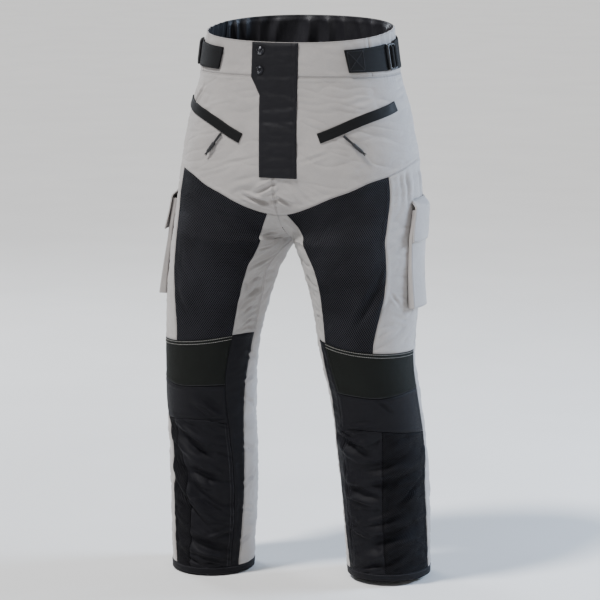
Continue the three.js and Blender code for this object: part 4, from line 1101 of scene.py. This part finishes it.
def cloth(name, colour, thread_colour, pitch=.8, crinkle=.12, rough=.86, sheen=.2, mottle=.07,
          shine=.25):
    g = Graph(name)
    uv, place = g.uv("Cloth"), g.place()
    weave = woven(g, uv, pitch)
    heather = g.noise(uv, 1100, 1)
    slubs = g.noise(g.add("ShaderNodeMapping", {"Vector": uv, "Scale": (160, 1500, 1)}).outputs[0], 1, 1)
    broad = g.noise(place, 22, 3)
    crumple = g.noise(place, 170, 3)
    thread, dip = stitched(g)
    # Random tone, weave and slubs, plus painted shade: the colour is about a tenth darker in the dip
    # beside each row of stitches.
    factor = g.total(g.between(broad, .3, .7, 1 - mottle, 1 + mottle),
                     g.between(heather, .2, .8, -.05, .05), g.between(slubs, .2, .8, -.05, .05),
                     g.scaled(weave, .035), g.scaled(dip, -.1))
    toned_and_seam_shaded = g.shade(colour, factor)
    base = g.mix(thread, toned_and_seam_shaded, thread_colour)
    height = g.total(g.scaled(weave, .045), g.scaled(crumple, crinkle * 2.2), g.scaled(slubs, .05),
                     g.scaled(dip, -.16), g.scaled(thread, .3))
    g.bump(height)
    roughness = g.between(heather, .2, .8, rough - .06, rough + .06)
    return g.set(Base_Color=base, Roughness=roughness, Sheen_Weight=sheen, Sheen_Roughness=.5,
                 Specular_IOR_Level=shine)


def open_mesh(name, thread_colour, hole_shade_colour, pitch, depth):
    """A spacer mesh: rows of small holes set on the slant, with rounded threads between them. The holes
    are painted near-black, as painted shade for the dark backing seen through them.
    """
    g = Graph(name)
    uv, place = g.uv("Cloth"), g.place()
    x, y, _ = g.split(uv)
    turn = 2 * math.pi / (pitch * MM)
    rising = g.math("COSINE", g.scaled(g.total(x, g.scaled(y, .8)), turn))
    falling = g.math("COSINE", g.scaled(g.math("SUBTRACT", x, g.scaled(y, .8)), turn))
    net = g.scaled(g.total(rising, falling), .5)
    solid = g.between(net, -.35, .25)
    fibres = g.noise(uv, 2600, 2)
    broad = g.noise(place, 16, 3)
    # Painted shade: the holes take the near-black hole colour.
    colour = g.mix(solid, hole_shade_colour, thread_colour)
    factor = g.total(g.between(broad, .3, .7, .8, 1.2), g.between(fibres, .2, .8, -.2, .2))
    colour = g.shade(colour, factor)
    g.bump(g.total(g.scaled(net, depth), g.scaled(fibres, .06), g.scaled(g.noise(place, 120, 2), .2)))
    return g.set(Base_Color=colour, Roughness=g.between(solid, 0, 1, .95, .6),
                 Specular_IOR_Level=g.between(solid, 0, 1, 0, .16))


def webbing_look():
    g = Graph("Webbing")
    x, y, _ = g.split(g.uv("Cloth"))
    zigzag = g.math("PINGPONG", y, 3 * MM)
    ribs = g.math("SINE", g.scaled(g.total(x, zigzag), 2 * math.pi / (1.5 * MM)))
    rows = g.math("SINE", g.scaled(y, 2 * math.pi / (1.1 * MM)))
    fibres = g.noise(g.uv("Cloth"), 1800, 2)
    g.bump(g.total(g.scaled(ribs, .1), g.scaled(rows, .05), g.scaled(fibres, .08)))
    factor = g.total(1.0, g.scaled(ribs, .14), g.between(fibres, .2, .8, -.12, .12))
    return g.set(Base_Color=g.shade(rgb(13, 13, 15), factor), Roughness=.7, Specular_IOR_Level=.18)


def strip_look():
    """The bonded strip over each pocket's zip: a smooth coated cloth with edges rubbed lighter."""
    g = Graph("Bonded strip")
    uv, place = g.uv("Cloth"), g.place()
    near, _, _ = g.split(g.uv("Seam"))
    grain = g.noise(uv, 1500, 3)
    broad = g.noise(place, 60, 3)
    rub = g.between(near, .4 * MM, 1.8 * MM, 1, 0)
    factor = g.total(g.between(broad, .3, .7, .85, 1.15), g.scaled(rub, .5))
    g.bump(g.total(g.scaled(grain, .08), g.scaled(g.noise(place, 200, 2), .12)))
    return g.set(Base_Color=g.shade(rgb(12, 12, 13), factor),
                 Roughness=g.between(broad, .3, .7, .56, .72), Specular_IOR_Level=.2)


def moulded(name, colour, rough):
    g = Graph(name)
    place = g.place()
    grain, broad = g.noise(place, 2400, 2), g.noise(place, 90, 3)
    g.bump(g.total(g.scaled(grain, .04), g.scaled(broad, .1)))
    return g.set(Base_Color=g.shade(colour, g.between(broad, .3, .7, .85, 1.15)),
                 Roughness=g.between(grain, .2, .8, rough - .07, rough + .08))


def stud_look():
    """Dark plated metal, rubbed brighter in patches."""
    g = Graph("Stud metal")
    place = g.place()
    patches, scratches = g.noise(place, 260, 3), g.noise(place, 3000, 2)
    rubbed = g.between(patches, .5, .68)
    g.bump(g.scaled(scratches, .03))
    return g.set(Base_Color=g.mix(rubbed, rgb(44, 44, 48), rgb(118, 118, 122)), Metallic=.9,
                 Roughness=g.between(scratches, .2, .8, .28, .45))


def make_looks():
    grey, thread_grey = rgb(166, 161, 158), rgb(140, 137, 135)
    return {
        "grey_shell": cloth("Grey shell", grey, thread_grey, mottle=.05),
        "stretch": cloth("Grey stretch", rgb(160, 156, 153), rgb(134, 131, 129), .6, .3, mottle=.08),
        "black_cloth": cloth("Black cloth", rgb(14, 13, 18), rgb(32, 31, 36), .8, .12, .6, 0, shine=.16),
        "knee_cloth": cloth("Knee cloth", rgb(18, 20, 17), rgb(38, 38, 36), .55, .08, .7, 0, shine=.14),
        # The meshes' holes are painted near-black: painted shade in the holes.
        "thigh_mesh": open_mesh("Thigh mesh", rgb(42, 42, 47), rgb(2, 2, 2), 4.2, .5),
        "calf_mesh": open_mesh("Calf mesh", rgb(26, 25, 29), rgb(2, 2, 2), 2.9, .26),
        "bonded_strip": strip_look(),
        "webbing": webbing_look(),
        "buckle_plastic": moulded("Buckle plastic", rgb(34, 34, 37), .45),
        "dark_plastic": moulded("Pull plastic", rgb(26, 26, 28), .5),
        "stud_metal": stud_look(),
        "placket_cloth": cloth("Placket cloth", rgb(17, 16, 21), rgb(40, 39, 44), .8, .12, .56, 0,
                               shine=.24),
        # Painted light: the back waistband's inside is its black cloth painted much lighter and made
        # shinier.
        "waist_inside_lit": cloth("Waist inside painted lit", rgb(40, 39, 44), rgb(52, 51, 56), .8, .12, .5, 0,
                              shine=.5),
        "lining": cloth("Lining", rgb(24, 24, 27), rgb(30, 30, 33), 1.6, .15, .9, .1),
        "thread_light": moulded("Light thread", rgb(150, 148, 144), .8),
        "thread_dark": moulded("Dark thread", rgb(44, 43, 48), .8),
    }


SENSOR, FOCAL_PIXELS, PHOTO_PIXELS, VIEW_END = 36, 2702, 600, 200
CAMERA_AWAY, CAMERA_TURN, CAMERA_HEIGHT, AIM_HEIGHT = 5, 20, .437, -.464
FLOOR_HALF, FLOOR_DROP, SKY_STRENGTH = 60, .003, .26


def camera():
    data = bpy.data.cameras.new("Camera")
    data.sensor_width, data.lens = SENSOR, SENSOR * FOCAL_PIXELS / PHOTO_PIXELS
    data.clip_end = VIEW_END
    obj = placed("Camera", data)
    turn = math.radians(CAMERA_TURN)
    obj.location = (CAMERA_AWAY * math.sin(turn), -CAMERA_AWAY * math.cos(turn), CAMERA_HEIGHT)
    aim = Vector((0, 0, AIM_HEIGHT)) - obj.location
    obj.rotation_euler = aim.to_track_quat("-Z", "Y").to_euler()
    bpy.context.scene.camera = obj


def light(kind, name, power, place, aim=(0, 0, -.45), colour=(1, 1, 1), **settings):
    data = bpy.data.lights.new(name, kind)
    data.energy, data.color = power, colour
    for key, value in settings.items():
        setattr(data, key, value)
    obj = placed(name, data)
    obj.location = place
    obj.rotation_euler = (Vector(aim) - Vector(place)).to_track_quat("-Z", "Y").to_euler()


def floor():
    low = cad_box[0][2] - FLOOR_DROP
    corners = [(x * FLOOR_HALF, y * FLOOR_HALF, low) for x, y in ((-1, -1), (1, -1), (1, 1), (-1, 1))]
    mesh = bpy.data.meshes.new("Floor")
    mesh.from_pydata(corners, [], [(0, 1, 2, 3)])
    g = Graph("Floor")
    mottle = g.between(g.noise(g.place(), 3, 2), .3, .7, .98, 1.02)
    mesh.materials.append(g.set(Base_Color=g.shade(rgb(226, 225, 223), mottle), Roughness=.8))
    placed("Floor", mesh)


def studio():
    light("SUN", "Key", 3.9, (-1.9, -2.3, 4.6), angle=math.radians(9))
    light("AREA", "Fill", 14, (2.6, -3, .4), shape="DISK", size=2.4)
    light("AREA", "Rim right", 130, (2.4, 1.3, .7), colour=(.6, .76, 1), shape="DISK", size=1.2)
    light("AREA", "Rim left", 50, (-2.6, 1.7, 1), colour=(.86, .92, 1), shape="DISK", size=1.2)
    world = bpy.data.worlds.new("World")
    world.use_nodes = True
    background = world.node_tree.nodes["Background"]
    background.inputs[0].default_value = (.95, .96, 1, 1)
    background.inputs[1].default_value = SKY_STRENGTH
    bpy.context.scene.world = world


camera()
studio()
floor()
looks = make_looks()
for side in (1, -1):
    for spec in PANELS:
        panel(side, spec, looks)
    welt(side, looks)
    hand = HAND[side]
    front_route, rear_route = strap_routes(side)
    strap(side, front_route, f"webbing_front_{hand}", f"strap_front_{hand}", looks)
    strap(side, rear_route, f"webbing_rear_{hand}", f"strap_back_{hand}", looks)
    buckle(side, looks)
    zip_pull(side, looks)
    cargo_pocket(side, looks)
    cargo_flap(side, looks)
back_waistband(looks)
fly_placket(looks)
for stud_name, stud_u, stud_h in STUDS:
    press_stud(stud_name, stud_u, stud_h, looks)
sewing(looks)
